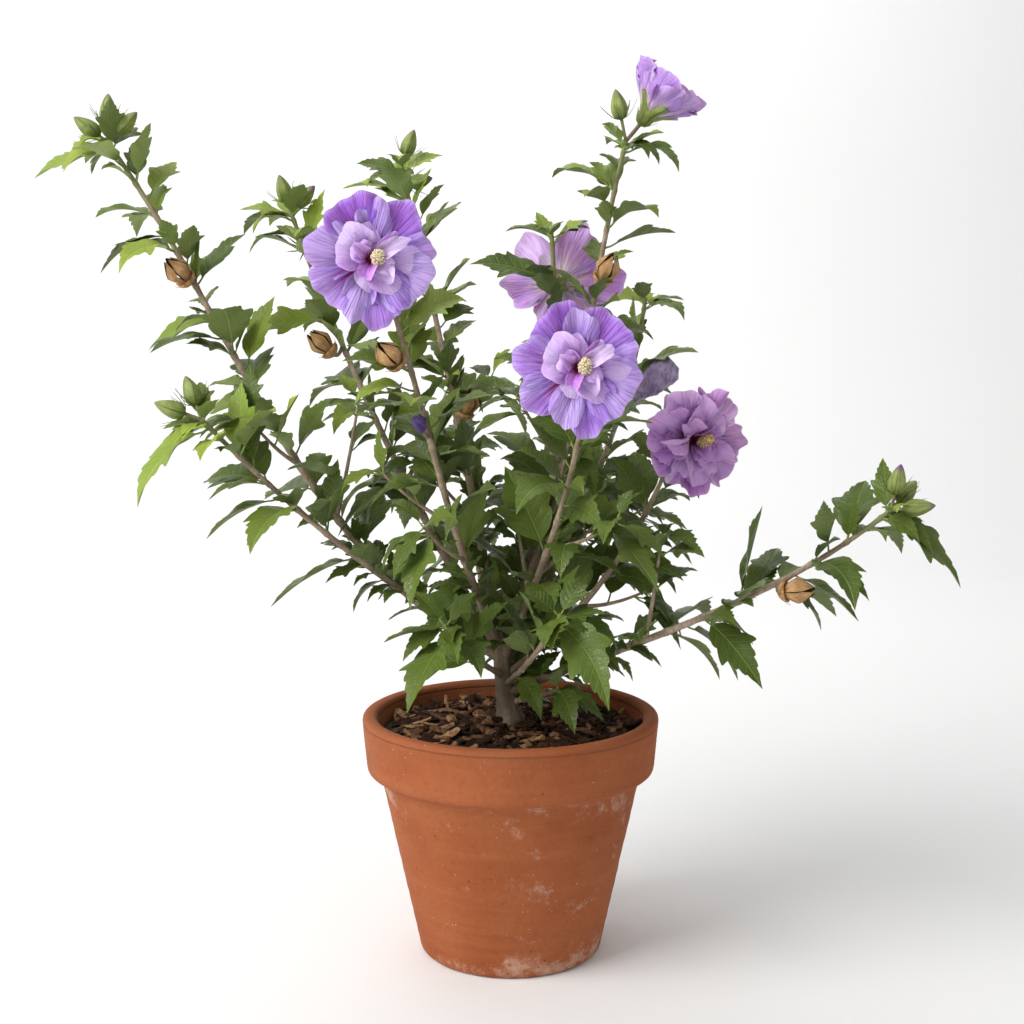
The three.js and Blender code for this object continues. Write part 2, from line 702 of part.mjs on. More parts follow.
// The centrelines, then the boughs: each ends where its leaves begin.
const curves = {};
const limbGuards = [trunkGuard];
for (const [name, spec] of Object.entries(STEMS)) {
  const axisShare = (spec.foot - SOIL.crown) / (TRUNK.top - SOIL.crown);
  const foot = spec.from ? curves[spec.from].getPoint(spec.share) : trunkAxis.getPoint(axisShare);
  curves[name] = new StemCurve(foot, spec);
  curves[name].thickness = (share) => THREE.MathUtils.lerp(spec.radius, STEM.tip, share ** STEM.taper);
}
for (const [name, spec] of Object.entries(STEMS).filter(([, { bare }]) => bare > 0)) {
  const curve = curves[name];
  const grown = (share) => curve.thickness(share) + GUARD;
  const bough = limb(curve, 0, spec.bare, curve.thickness, STEM.limbRings, STEM.limbSides);
  show(`bough_${name}`, cutClear(bough, limbGuards), 'bark');
  limbGuards.push(limb(curve, 0, spec.bare, grown, STEM.limbRings, STEM.limbSides));
}

// The leafy stems, and a guard round each that the other masses keep off.
const masses = {};
for (const [name, { bare }] of Object.entries(STEMS)) {
  const curve = curves[name];
  const start = bare > 0 ? bare + GAP / curve.size : 0;
  const rings = 2 + Math.round(((1 - start) * curve.size) / STEM.stemRing);
  const grown = (share) => curve.thickness(share) + GUARD;
  masses[name] = {
    curve,
    solid: cutClear(limb(curve, start, 1, curve.thickness, rings, STEM.stemSides), limbGuards),
    guard: limb(curve, start, 1 + GUARD / curve.size, grown, rings, STEM.stemSides),
  };
}

const flowers = {};
const stemGuards = [...limbGuards, ...Object.values(masses).map(({ guard }) => guard)];
for (const [name, spec] of Object.entries(FLOWERS)) {
  flowers[name] = cutClear(flower(curves[spec.stem], spec), stemGuards);
  show(name, flowers[name], 'petal');
}
flowers.flower_withered = cutClear(witheredFlower(curves[WITHERED.stem]), stemGuards);
show('flower_withered', flowers.flower_withered, 'withered');

// Buds, pods, twigs and leaves join their stem, and what would touch a neighbour is left out.
let seed = 0;
const finished = [];
for (const [name, mass] of Object.entries(masses)) {
  seed += 1;
  const { curve } = mass;
  const otherStems = Object.values(masses).filter((other) => other !== mass).map((other) => other.guard);
  const neighbours = [pot, soil, ...limbGuards, ...otherStems, ...Object.values(flowers), ...finished];
  const pieces = [];
  const grow = (piece, guard = piece) => {
    if (touches(guard, neighbours)) return false;
    pieces.push(piece);
    return true;
  };
  for (const [make, places] of [[bud, BUDS[name]], [pod, PODS[name]]]) {
    for (const [share, x, y, z] of places ?? []) {
      const root = curve.getPoint(Math.min(share, 1 - 1 / curve.size));
      grow(make(root, curve.getPoint(share).add(new THREE.Vector3(x, y, z))));
    }
  }
  const leaves = leavesOn(curve, seed, ON_STEM, STEMS[name].bare + LEAF.baseGap);
  twigsOn(curve, seed, STEMS[name]).forEach((twig, index) => {
    const thickness = (share) => THREE.MathUtils.lerp(TWIG.radius, TWIG.radius * TWIG.taper, share);
    const grown = grow(
      limb(twig, 0, 1, thickness, TWIG.rings, TWIG.sides),
      limb(twig, 0, 1, (share) => thickness(share) + GUARD, TWIG.rings, TWIG.sides),
    );
    if (grown) leaves.push(...leavesOn(twig, seed + 20 * (index + 1), ON_TWIG, TWIG.bare));
  });
  leaves.forEach((spec) => grow(leaf(spec), leaf(spec, GUARD)));
  mass.solid = wholeBody(pieces.reduce((joined, piece) => joined.add(piece), mass.solid));
  finished.push(mass.solid);
  show(`foliage_${name}`, mass.solid, 'leaf');
}

export default part;
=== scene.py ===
import json
import math
import random

import bpy
import numpy as np
from mathutils import Matrix, Vector, noise

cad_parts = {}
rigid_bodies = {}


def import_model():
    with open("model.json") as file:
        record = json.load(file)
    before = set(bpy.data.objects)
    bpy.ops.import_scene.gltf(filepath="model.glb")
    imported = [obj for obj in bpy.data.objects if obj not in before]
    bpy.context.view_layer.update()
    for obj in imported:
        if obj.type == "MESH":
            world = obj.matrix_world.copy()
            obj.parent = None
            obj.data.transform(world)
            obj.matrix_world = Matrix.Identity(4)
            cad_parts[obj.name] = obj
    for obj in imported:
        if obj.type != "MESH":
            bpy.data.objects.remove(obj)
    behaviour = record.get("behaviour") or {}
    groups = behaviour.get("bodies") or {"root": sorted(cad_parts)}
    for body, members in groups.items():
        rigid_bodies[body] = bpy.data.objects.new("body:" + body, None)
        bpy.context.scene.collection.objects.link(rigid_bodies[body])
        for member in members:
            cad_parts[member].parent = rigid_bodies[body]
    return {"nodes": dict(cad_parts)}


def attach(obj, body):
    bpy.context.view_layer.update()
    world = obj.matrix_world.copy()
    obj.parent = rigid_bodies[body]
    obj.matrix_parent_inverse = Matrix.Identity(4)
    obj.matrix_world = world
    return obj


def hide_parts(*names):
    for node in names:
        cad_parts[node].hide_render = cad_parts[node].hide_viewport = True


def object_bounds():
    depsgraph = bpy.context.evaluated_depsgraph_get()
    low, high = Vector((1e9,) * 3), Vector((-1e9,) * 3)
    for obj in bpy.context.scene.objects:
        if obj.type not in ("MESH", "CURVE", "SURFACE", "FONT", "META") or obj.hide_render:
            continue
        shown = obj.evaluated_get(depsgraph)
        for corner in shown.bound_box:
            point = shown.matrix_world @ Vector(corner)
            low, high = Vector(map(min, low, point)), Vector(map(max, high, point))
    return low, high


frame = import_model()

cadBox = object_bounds()
mm = 0.001
up = Vector((0, 0, 1))
sky = Vector((-0.2, -0.3, 1)).normalized()  # leaves turn their upper faces this way
circle = 2 * math.pi

camera = {"lens": 53.16, "place": (0.001, -1.05, 0.4403), "tilt": 83.13}

cameraData = bpy.data.cameras.new("camera")
cameraData.lens = camera["lens"]
cameraData.sensor_width = 36
cameraObject = bpy.data.objects.new("camera", cameraData)
cameraObject.location = camera["place"]
cameraObject.rotation_euler = (math.radians(camera["tilt"]), 0, 0)
bpy.context.scene.collection.objects.link(cameraObject)
bpy.context.scene.camera = cameraObject


# Finishes: every material is a node tree that starts from one of these.

def shade(code):  # a screen colour such as "a0522d" as linear light
    parts = [int(code[i:i + 2], 16) / 255 for i in (0, 2, 4)]
    return tuple(c / 12.92 if c <= 0.04045 else ((c + 0.055) / 1.055) ** 2.4 for c in parts) + (1.0,)


class Value:  # a socket that takes part in sums
    def __init__(self, finish, socket):
        self.finish = finish
        self.socket = socket

    def work(self, operation, *terms):
        return self.finish.node("ShaderNodeMath", {"operation": operation}, dict(enumerate(terms)))

    def __add__(self, other):
        return self.work("ADD", self, other)

    def __radd__(self, other):
        return self.work("ADD", other, self)

    def __sub__(self, other):
        return self.work("SUBTRACT", self, other)

    def __rsub__(self, other):
        return self.work("SUBTRACT", other, self)

    def __mul__(self, other):
        return self.work("MULTIPLY", self, other)

    def __rmul__(self, other):
        return self.work("MULTIPLY", other, self)

    def __abs__(self):
        return self.work("ABSOLUTE", self)


class Finish:
    def __init__(self, name, roughness, **constants):
        self.material = bpy.data.materials.new(name)
        self.material.use_nodes = True
        self.tree = self.material.node_tree
        self.shader = next(n for n in self.tree.nodes if n.type == "BSDF_PRINCIPLED")
        self.shader.inputs["Roughness"].default_value = roughness
        for key, value in constants.items():
            self.shader.inputs[key.replace("_", " ")].default_value = value

    def node(self, kind, settings=None, sockets=None, output=0):
        made = self.tree.nodes.new(kind)
        for key, value in (settings or {}).items():
            setattr(made, key, value)
        for key, value in (sockets or {}).items():
            if isinstance(value, Value):
                self.tree.links.new(value.socket, made.inputs[key])
            else:
                made.inputs[key].default_value = shade(value) if isinstance(value, str) else value
        return Value(self, made.outputs[output])

    def place(self, scale=None):  # object coordinates
        spot = self.node("ShaderNodeTexCoord", output="Object")
        return self.node("ShaderNodeMapping", sockets={"Vector": spot, "Scale": scale}) if scale else spot

    def flat(self, scale=(1, 1, 1)):  # the piece's own UV map
        spot = self.node("ShaderNodeUVMap", {"uv_map": "surface"})
        return self.node("ShaderNodeMapping", sockets={"Vector": spot, "Scale": scale})

    def parts(self, vector):
        split = self.node("ShaderNodeSeparateXYZ", sockets={0: vector})
        return [Value(self, split.socket.node.outputs[i]) for i in range(3)]

    def named(self, name="tone"):  # a number stored on the mesh
        return self.node("ShaderNodeAttribute", {"attribute_name": name}, output="Fac")

    def grain(self, vector, scale, detail=2.0, rough=0.5):
        sockets = {"Vector": vector, "Scale": scale, "Detail": detail, "Roughness": rough}
        return self.node("ShaderNodeTexNoise", sockets=sockets)

    def cells(self, vector, scale, feature="F1"):
        return self.node("ShaderNodeTexVoronoi", {"feature": feature}, {"Vector": vector, "Scale": scale})

    def ramp(self, value, low, high, bottom=0.0, top=1.0):
        sockets = {"Value": value, "From Min": low, "From Max": high, "To Min": bottom, "To Max": top}
        return self.node("ShaderNodeMapRange", {"interpolation_type": "SMOOTHSTEP"}, sockets)

    def mix(self, factor, first, second):
        settings = {"data_type": "RGBA", "blend_type": "MIX", "clamp_factor": True}
        return self.node("ShaderNodeMix", settings, {0: factor, 6: first, 7: second}, output=2)

    def link(self, value, socket):
        self.tree.links.new(value.socket, self.shader.inputs[socket])

    def paint(self, factor, first, second):  # the base colour
        self.base = self.mix(factor, first, second)
        self.link(self.base, "Base Color")

    def over(self, factor, colour):  # one more colour on top of it
        self.paint(factor, self.base, colour)

    def bump(self, height, distance, strength=1.0):
        sockets = {"Height": height, "Distance": distance, "Strength": strength}
        self.link(self.node("ShaderNodeBump", sockets=sockets), "Normal")


# Meshes: small shapes gather in a heap, which becomes one object.

class Heap:
    def __init__(self):
        self.points, self.faces, self.spots, self.tones, self.slots, self.rims = [], [], [], [], [], []
        self.count = 0

    def add(self, points, faces, spots=None, tone=0.5, slot=0, rim=None):
        points = np.asarray(points, float).reshape(-1, 3)
        faces = np.asarray(faces, int).reshape(-1, 3)
        number = len(points)
        self.points.append(points)
        self.faces.append(faces + self.count)
        self.spots.append(np.zeros((number, 2)) if spots is None else np.asarray(spots, float))
        self.tones.append(np.broadcast_to(np.asarray(tone, float), (number,)))
        self.slots.append(np.broadcast_to(np.asarray(slot, int), (len(faces),)))
        self.rims.append(np.zeros(number, bool) if rim is None else np.asarray(rim, bool))
        self.count += number

    def finish(self, name, materials, smooth=True):
        points = np.vstack(self.points)
        faces = np.vstack(self.faces)
        mesh = bpy.data.meshes.new(name)
        mesh.vertices.add(len(points))
        mesh.vertices.foreach_set("co", points.ravel())
        mesh.loops.add(faces.size)
        mesh.loops.foreach_set("vertex_index", faces.ravel())
        mesh.polygons.add(len(faces))
        mesh.polygons.foreach_set("loop_start", np.arange(0, faces.size, 3))
        mesh.polygons.foreach_set("material_index", np.concatenate(self.slots))
        mesh.polygons.foreach_set("use_smooth", np.full(len(faces), smooth))
        mesh.update(calc_edges=True)
        layer = mesh.uv_layers.new(name="surface")
        layer.data.foreach_set("uv", np.vstack(self.spots)[faces.ravel()].ravel())
        mesh.attributes.new("tone", "FLOAT", "POINT").data.foreach_set("value", np.concatenate(self.tones))
        rims = np.concatenate(self.rims)
        if rims.any():
            ends = np.empty(len(mesh.edges) * 2, int)
            mesh.edges.foreach_get("vertices", ends)
            sharp = rims[ends.reshape(-1, 2)].all(axis=1)
            mesh.attributes.new("sharp_edge", "BOOLEAN", "EDGE").data.foreach_set("value", sharp)
        for finish in materials:
            mesh.materials.append(finish.material)
        made = bpy.data.objects.new(name, mesh)
        bpy.context.scene.collection.objects.link(made)
        print(name, len(faces), "triangles")
        return made


def settle(piece, slot, *replaced):
    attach(piece, "root")
    if replaced:
        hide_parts(*replaced)


def ringFaces(rings, sides):
    faces = []
    for ring in range(rings - 1):
        for side in range(sides):
            a, b = ring * sides + side, ring * sides + (side + 1) % sides
            faces += [(a, b, b + sides), (a, b + sides, a + sides)]
    return faces


def closedFaces(rings, sides):  # rings, and after them a point that closes each end
    foot = rings * sides
    faces = ringFaces(rings, sides)
    for side in range(sides):
        after = (side + 1) % sides
        faces += [(foot, after, side), (foot + 1, foot - sides + side, foot - sides + after)]
    return faces


def discFaces(rings, sides):  # a point in the middle, and rings round it
    faces = [(0, 1 + side, 1 + (side + 1) % sides) for side in range(sides)]
    return faces + [tuple(i + 1 for i in face) for face in ringFaces(rings, sides)]


def tube(heap, path, radii, sides, tone=0.5, relief=None):
    path = [Vector(p) for p in path]
    rings = len(path)
    along = [(path[min(i + 1, rings - 1)] - path[max(i - 1, 0)]).normalized() for i in range(rings)]
    across = along[0].orthogonal().normalized()
    points = []
    for i in range(rings):
        across = (across - along[i] * across.dot(along[i])).normalized()
        other = along[i].cross(across)
        for side in range(sides):
            angle = circle * side / sides
            way = across * math.cos(angle) + other * math.sin(angle)
            reach = radii[i] + (relief(path[i] + way * radii[i], angle, i) if relief else 0)
            points.append(path[i] + way * reach)
    points += [path[0], path[-1]]
    tones = np.repeat(np.broadcast_to(tone, (rings,)), sides)
    heap.add(points, closedFaces(rings, sides), tone=np.concatenate([tones, [tones[0], tones[-1]]]))


def sheet(heap, top, thick, spots, tone=0.5, slots=(0, 0)):  # a thin closed petal from a grid of points
    rows, columns = top.shape[:2]
    along = np.gradient(top, axis=0)
    across = np.gradient(top, axis=1)
    normal = np.cross(across, along)
    normal /= np.maximum(np.linalg.norm(normal, axis=2, keepdims=True), 1e-9)
    edge = np.zeros((rows, columns), bool)
    edge[0], edge[-1], edge[:, 0], edge[:, -1] = True, True, True, True
    under = top - normal * thick
    index = np.arange(rows * columns).reshape(rows, columns)
    inner = np.where(edge, index, 0)
    inner[~edge] = rows * columns + np.arange((~edge).sum())
    turned = np.zeros((rows - 1, columns - 1), bool)  # two corners take the other diagonal
    turned[0, -1], turned[-1, 0] = True, True
    halves = []
    for grid in (index, inner):
        a, b, c, d = grid[:-1, :-1], grid[:-1, 1:], grid[1:, 1:], grid[1:, :-1]
        halves.append(np.concatenate([
            np.stack([a, b, np.where(turned, d, c)], -1).reshape(-1, 3),
            np.stack([np.where(turned, b, a), c, d], -1).reshape(-1, 3),
        ]))
    upper, lower = halves[0], halves[1][:, ::-1]
    flatSpots = spots.reshape(-1, 2)
    heap.add(
        np.vstack([top.reshape(-1, 3), under[~edge]]),
        np.vstack([upper, lower]),
        np.vstack([flatSpots, spots[~edge]]),
        tone,
        np.concatenate([np.full(len(upper), slots[0]), np.full(len(lower), slots[1])]),
        np.concatenate([edge.ravel(), np.zeros((~edge).sum(), bool)]),
    )


# Centrelines, grown by the rule that the solids were grown by.

def wobble(seed, step):  # a number from 0 to 1
    wave = math.sin(seed * 127.1 + step * 311.7) * 43758.5453
    return wave - math.floor(wave)


class Line:
    def tangent(self, share):
        share = min(max(share, 0), 1)
        return (self.point(min(share + 1e-4, 1)) - self.point(max(share - 1e-4, 0))).normalized()

    def frame(self, share):
        tangent = self.tangent(share)
        across = (self.side - tangent * self.side.dot(tangent)).normalized()
        return tangent, across, tangent.cross(across)


class TrunkLine(Line):
    def __init__(self, foot, top, lean):
        self.foot, self.top, self.lean = foot * mm, top * mm, lean
        self.side = Vector((0, 1, 0))
        self.size = self.top - self.foot

    def point(self, share):
        lean = max(share, 0) ** 0.8 * mm
        return Vector((self.lean[0] * lean, self.lean[1] * lean, self.foot + self.size * share))


class StemLine(Line):
    def __init__(self, foot, heading, reach, rise, bow, early, sway):
        angle = math.radians(heading)
        way = Vector((math.cos(angle), math.sin(angle), 0))
        self.foot = foot
        self.chord = way * reach * mm + up * rise * mm
        self.size = self.chord.length
        self.side = up.cross(way)
        self.out = self.side.cross(self.chord).normalized()
        if self.out.z > 0:
            self.out.negate()
        self.bow, self.early, self.sway = bow * mm, early, sway * mm

    def point(self, share):
        belly = 4 * share * (1 - share)
        outwards = belly * self.bow * (1 + self.early * (0.5 - share))
        return self.foot + self.chord * share + self.out * outwards + self.side * belly * self.sway


class TwigLine(Line):
    def __init__(self, root, way, size):
        self.root, self.way, self.size = root, way, size
        self.side = up.cross(way).normalized()

    def point(self, share):
        return self.root + self.way * share * self.size + up * share * share * self.size * 0.25


pot = {
    "height": 171.5, "rim": 105, "lip": 4.5, "band": 102, "bandBottom": 133, "shoulder": 91.5,
    "shoulderTop": 126, "foot": 65.8, "corner": 6, "mouth": 94.5, "well": 57, "floor": 12,
}
ground = {"edge": 158.5, "crown": 164.3}
trunk = {"top": 230, "lean": (-8.5, 1.5), "flare": 10.6, "neck": 6.4, "crest": 4.2, "flareHeight": 9}
stemKeys = ("foot", "heading", "reach", "rise", "bow", "early", "sway", "radius", "bare", "twigs")
stemRows = {
    "far_left": (210, 176, 274, 360, 27, 1.9, 7, 3.7, 0.26, 2),
    "low_left": (("far_left", 0.155), -155, 149, 131, 5, 0, 1, 2.5, 0.2, 1),  # its foot is on another stem
    "left_back": (213, 149, 184, 316, 12, 0, -1, 3.3, 0.22, 2),
    "left_front": (217, -140, 98, 255, 6, 2.2, 2, 3.2, 0.2, 2),
    "mid_back": (221, 119, 159, 346, 21, 0, -14, 3.4, 0.18, 3),
    "mid_front": (208, -55, 94, 187, 5, -1, 5, 3, 0.2, 3),
    "tall_right": (218, 20, 94, 354, 12, 1.8, 4, 3.4, 0.2, 2),
    "short_right": (206, 52, 57, 304, 19, 0, -4, 3.2, 0.2, 2),
    "right_back": (199, 49, 166, 266, 19, -1.2, 0, 3.1, 0.2, 2),
    "right_front": (196, -18, 117, 155, 13, 0, 4, 2.9, 0.22, 2),
    "low_right": (184, -14, 262, 139, 10, -1.4, -7, 3.4, 0.3, 1),
    "rear_left": (203, 100, 170, 142, 14, 0, 3, 2.9, 0.2, 2),
    "rear_right": (192, 68, 186, 138, 12, 0, -4, 2.9, 0.2, 2),
    "low_front_left": (197, -118, 82, 50, 4, 0, 0, 2.2, 0, 1),
    "low_front_right": (190, -66, 90, 66, 4, 0, 0, 2.2, 0, 1),
    "low_sprig": (178, -32, 42, 14, 2, 0, 0, 1.6, 0, 0),
}
stems = {name: dict(zip(stemKeys, row)) for name, row in stemRows.items()}
# Besides the solids' values, a flower has the turn of its petals, how deep their colour is, how far it is
# closed, how ruffled and how full it is, the size of its calyx and the number of its petal finish. Then
# come the least half width of its outer petals, how slim these are, and the petaloids of a second ring.
plainFlower = dict(
    share=1, spin=0, deep=0, closed=0, ruffled=1, full=1, calyx=1, hue=0, least=0, slim=1, second=0,
)
flowers = {
    "flower_upper_left": dict(
        stem="left_front", middle=(-88, -84, 485), facing=(0.09, -1, -0.04), radius=43.5, depth=13,
    ),
    "flower_middle": dict(
        stem="mid_front", middle=(42, -108, 417), facing=(-0.05, -1, 0.03), radius=42.5, depth=13,
        spin=3, deep=0.03,
    ),
    "flower_behind": dict(
        stem="short_right", share=0.85, middle=(39, 75, 477), facing=(0.28, 0.93, 0.2), radius=46, depth=18,
        spin=70, deep=-0.2, closed=0.1, ruffled=1.2, full=0.6, calyx=0.75, hue=2, least=0.36, slim=0.8,
    ),
    "flower_right": dict(
        stem="right_front", middle=(126, -47, 366), facing=(0.38, -0.9, -0.1), radius=38, depth=16,
        spin=152, closed=0.12, ruffled=1.9, full=1.35, hue=1, slim=0.9, second=8,
    ),
    "flower_top": dict(
        stem="tall_right", middle=(117, 43, 616), facing=(0.62, -0.12, 0.76), radius=27, depth=27,
        spin=40, deep=0.1, closed=1, ruffled=1.3, full=0.6, calyx=0.95, hue=2,
    ),
}
flowers = {name: {**plainFlower, **own} for name, own in flowers.items()}
withered = [
    dict(stem="right_back", share=0.76, foot=(5, -10, -4), tip=(35, -15, 24), radius=11, fresh=1),
    dict(stem="left_front", share=0.6, foot=(-4, -8, 4), tip=(-7, -13, 15), radius=4.5, fresh=0),
    dict(stem="right_back", share=0.5, foot=(-5, -9, 3), tip=(-9, -14, 15), radius=4.5, fresh=0),
]

trunkLine = TrunkLine(ground["crown"] + 0.3, trunk["top"], trunk["lean"])
lines = {}
for stemName, stem in stems.items():
    foot = stem["foot"]
    if isinstance(foot, tuple):
        stemFoot = lines[foot[0]].point(foot[1])
    else:
        stemFoot = trunkLine.point((foot - ground["crown"]) / (trunk["top"] - ground["crown"]))
    lines[stemName] = StemLine(stemFoot, *stemRows[stemName][1:7])


def stemThickness(name, share):
    radius = stems[name]["radius"]
    return (radius + (1.5 - radius) * share ** 0.8) * mm


# Room: leaves keep out of the pot, the flowers and the stems.

room = {  # in metres
    "trunkView": (-0.016, 0.002), "viewDepth": 0.01, "viewTop": 0.212,  # the foot of the trunk stays in view
    "rim": 0.109, "rimTop": 0.1765, "rimUnder": 0.1665, "inside": 0.085, "insideTop": 0.18,
    "ahead": 0.075, "behind": 0.012, "seen": (0, 1, 3), "stemGap": 0.0042, "past": (0.008, 0.008, 0.006),
    "flowerBack": 0.75, "flowerSide": 0.93,  # shares of a flower's depth and radius
}
flowerSeats = []
for spec in flowers.values():
    facing = Vector(spec["facing"]).normalized()
    middle = np.array(spec["middle"]) * mm
    flowerSeats.append((middle, np.array(facing), spec["radius"] * mm, spec["depth"] * mm))
stemDots = {name: np.array([line.point(i / 60) for i in range(8, 59)]) for name, line in lines.items()}


def clearOf(points, ownStem, front=room["ahead"]):
    x, y, height = points.T
    reach = np.hypot(x, y)
    left, right = room["trunkView"]
    if ((x > left) & (x < right) & (y < room["viewDepth"]) & (height < room["viewTop"])).any():
        return False
    outside = reach > room["rim"]
    overRim = (height < room["rimTop"]) & (reach < room["rim"])
    if overRim.any() and not ((height > room["rimUnder"]) | outside).all():
        return False
    if ((height < room["insideTop"]) & (reach > room["inside"])).any():
        return False
    for index, (middle, facing, radius, depth) in enumerate(flowerSeats):
        offset = points - middle
        level = offset @ facing
        out = np.linalg.norm(offset - level[:, None] * facing, axis=1)
        ahead = front if index in room["seen"] else room["behind"]
        inDepth = (level > -depth * room["flowerBack"]) & (level < ahead)
        if (inDepth & (out < radius * room["flowerSide"])).any():
            return False
    for name, dots in stemDots.items():
        gaps = np.linalg.norm(points[:, None, :] - dots[None, :, :], axis=2)
        if name != ownStem and gaps.min() < room["stemGap"]:
            return False
    low, high = np.array(cadBox)
    past = np.array(room["past"])
    return bool((points > low - past).all() and (points < high + past).all())


# Leaves: one outline, with its own veins and fold, is bent for every leaf.

leafShape = {
    "length": 56, "stalk": 10, "fold": 0.42, "thick": 0.55, "spiral": 137.5, "turn": -90, "rise": 32,
    "roll": 24, "droop": 0.85, "tipGap": 9, "wave": 0.034, "veins": 0.009,
    # along the blade, half width, and where the row meets the rib
    "outline": [
        (0.0, 0.014, 0.0), (0.04, 0.07, 0.02), (0.1, 0.15, 0.06), (0.18, 0.212, 0.11), (0.25, 0.246, 0.155),
        (0.302, 0.255, 0.19), (0.33, 0.238, 0.225), (0.4, 0.292, 0.26), (0.465, 0.326, 0.295),
        (0.518, 0.338, 0.33), (0.532, 0.314, 0.36), (0.526, 0.266, 0.395), (0.522, 0.218, 0.43),
        (0.56, 0.2, 0.475), (0.615, 0.204, 0.525), (0.66, 0.186, 0.565), (0.664, 0.148, 0.605),
        (0.722, 0.145, 0.655), (0.77, 0.13, 0.7), (0.779, 0.095, 0.74),
        (0.848, 0.08, 0.8), (0.9, 0.045, 0.862), (1.0, 0.0, 1.0),
    ],
}


def leafTemplate():
    rows = leafShape["outline"]
    points, faces, slots, rim = [], [], [], []
    number = {}

    def corner(row, column, below):
        along, half, rib = rows[row]
        if row == len(rows) - 1:
            key, column, below = ("tip",), 0, 0
        elif row == 0:
            key = (0, column if abs(column) == 2 else 0, below if abs(column) < 2 else 0)
            column = key[1]
        else:
            below = 0 if abs(column) == 2 else below
            key = (row, column, below)
        if key not in number:
            share = abs(column) / 2
            number[key] = len(points)
            points.append((rib + (along - rib) * share, math.copysign(half * share, column), below, share))
            rim.append(share == 1 or key == ("tip",))
        return number[key]

    for row in range(len(rows) - 1):
        for left, right in ((-2, -1), (-1, 0), (0, 1), (1, 2)):
            for below in (0, 1):
                if below and abs(left) + abs(right) == 3:
                    left, right = (-2, 0) if left < 0 else (0, 2)
                elif below:
                    continue
                a, b = corner(row, left, below), corner(row, right, below)
                c, d = corner(row + 1, right, below), corner(row + 1, left, below)
                inwards = left < 0  # both halves split alike, from the rib forwards
                parts = [(a, b, d), (b, c, d)] if inwards else [(a, b, c), (a, c, d)]
                for part in parts:
                    if len(set(part)) == 3:
                        faces.append(part[::-1] if below else part)
                        slots.append(below)
    return np.array(points), np.array(faces), np.array(slots), np.array(rim)


leafPoints, leafFaces, leafSlots, leafRim = leafTemplate()


def leafCloud(leaf, points):
    along, half, below, share = points.T
    length, droop = leaf["length"], leaf["droop"]
    way, across = np.array(leaf["way"]), np.array(leaf["across"])
    top = np.array(up)
    bend = np.maximum(along, 0)
    forwards = along * length - 0.175 * droop ** 2 * length * bend ** 3
    centre = np.outer(forwards, way) - np.outer(0.5 * droop * length * bend ** 2, top)
    heading = way[None, :] * (1 - 0.525 * droop ** 2 * bend ** 2)[:, None] - np.outer(droop * bend, top)
    heading /= np.linalg.norm(heading, axis=1, keepdims=True)
    normal = np.cross(across[None, :], heading)
    normal /= np.linalg.norm(normal, axis=1, keepdims=True)
    wide = half * length * leaf["wide"]
    width = np.abs(half)
    phase = along * 11 + leaf["phase"] + np.sign(half) * 0.9
    wave = leafShape["wave"] * length * np.sin(phase) * (width / 0.3)
    veins = leafShape["veins"] * length * np.sin((along - 0.75 * width) * circle * 4.5) ** 2
    veins = veins * np.minimum(width / 0.1, 1) * (share < 0.99)
    rise = np.abs(wide) * math.sin(leafShape["fold"]) * (1 - 2.1 * width) + wave + veins
    lift = rise - np.where(below > 0, leafShape["thick"] * mm * (1 - share), 0)
    sideways = np.outer(wide * math.cos(leafShape["fold"]), across)
    return np.array(leaf["blade"]) + centre + sideways + normal * lift[:, None]


def leafAt(line, share, azimuth, seed, step, rise=0.0, stalk=1):
    tangent, across, inwards = line.frame(share)
    lift = math.radians(leafShape["rise"]) + 0.35 * (wobble(seed, step + 0.3) - 0.5) + rise
    flat = across * math.cos(azimuth) + inwards * math.sin(azimuth)
    way = (flat * math.cos(lift) + tangent * math.sin(lift)).normalized()
    roll = math.radians(leafShape["roll"]) * (2 * wobble(seed, step + 0.6) - 1)
    side = Matrix.Rotation(roll, 3, way) @ way.cross(sky).normalized()
    stalk = leafShape["stalk"] * mm * (0.7 + 0.5 * wobble(seed, step + 0.8)) * stalk
    root = line.point(share)
    return {
        "root": root, "way": way, "across": side, "stalk": stalk, "blade": root + way * stalk,
        "droop": leafShape["droop"] * (0.6 + 0.85 * wobble(seed, step + 0.1)) * math.hypot(way.x, way.y),
        "phase": 6 * wobble(seed, step + 0.45), "wide": 0.84 + 0.24 * wobble(seed, step + 0.7),
    }


growth = {
    "stemPitch": 27, "twigPitch": 19, "twigScale": 0.82, "between": 0.82,
    "crowded": 0.5, "axilScale": 0.66, "axilStalk": 0.6, "bareTrim": 0.05, "oldAt": 110,
    "twigSize": 58, "twigSpacing": 0.1, "twigRise": 0.7, "twigRadius": 1.3, "stalkRadius": 0.75,
    "tipScale": 0.6, "tipStalk": 0.55, "shootSpacing": 0.045, "shootScale": 0.42,
    "tested": 7,  # every seventh corner of a leaf is tested for room
}
leaves = []
twigLines = []


def keepLeaf(leaf, length, owner, age):
    leaf["length"] = length
    leaf["age"] = age
    if clearOf(leafCloud(leaf, leafPoints[::growth["tested"]]), owner):
        leaves.append(leaf)


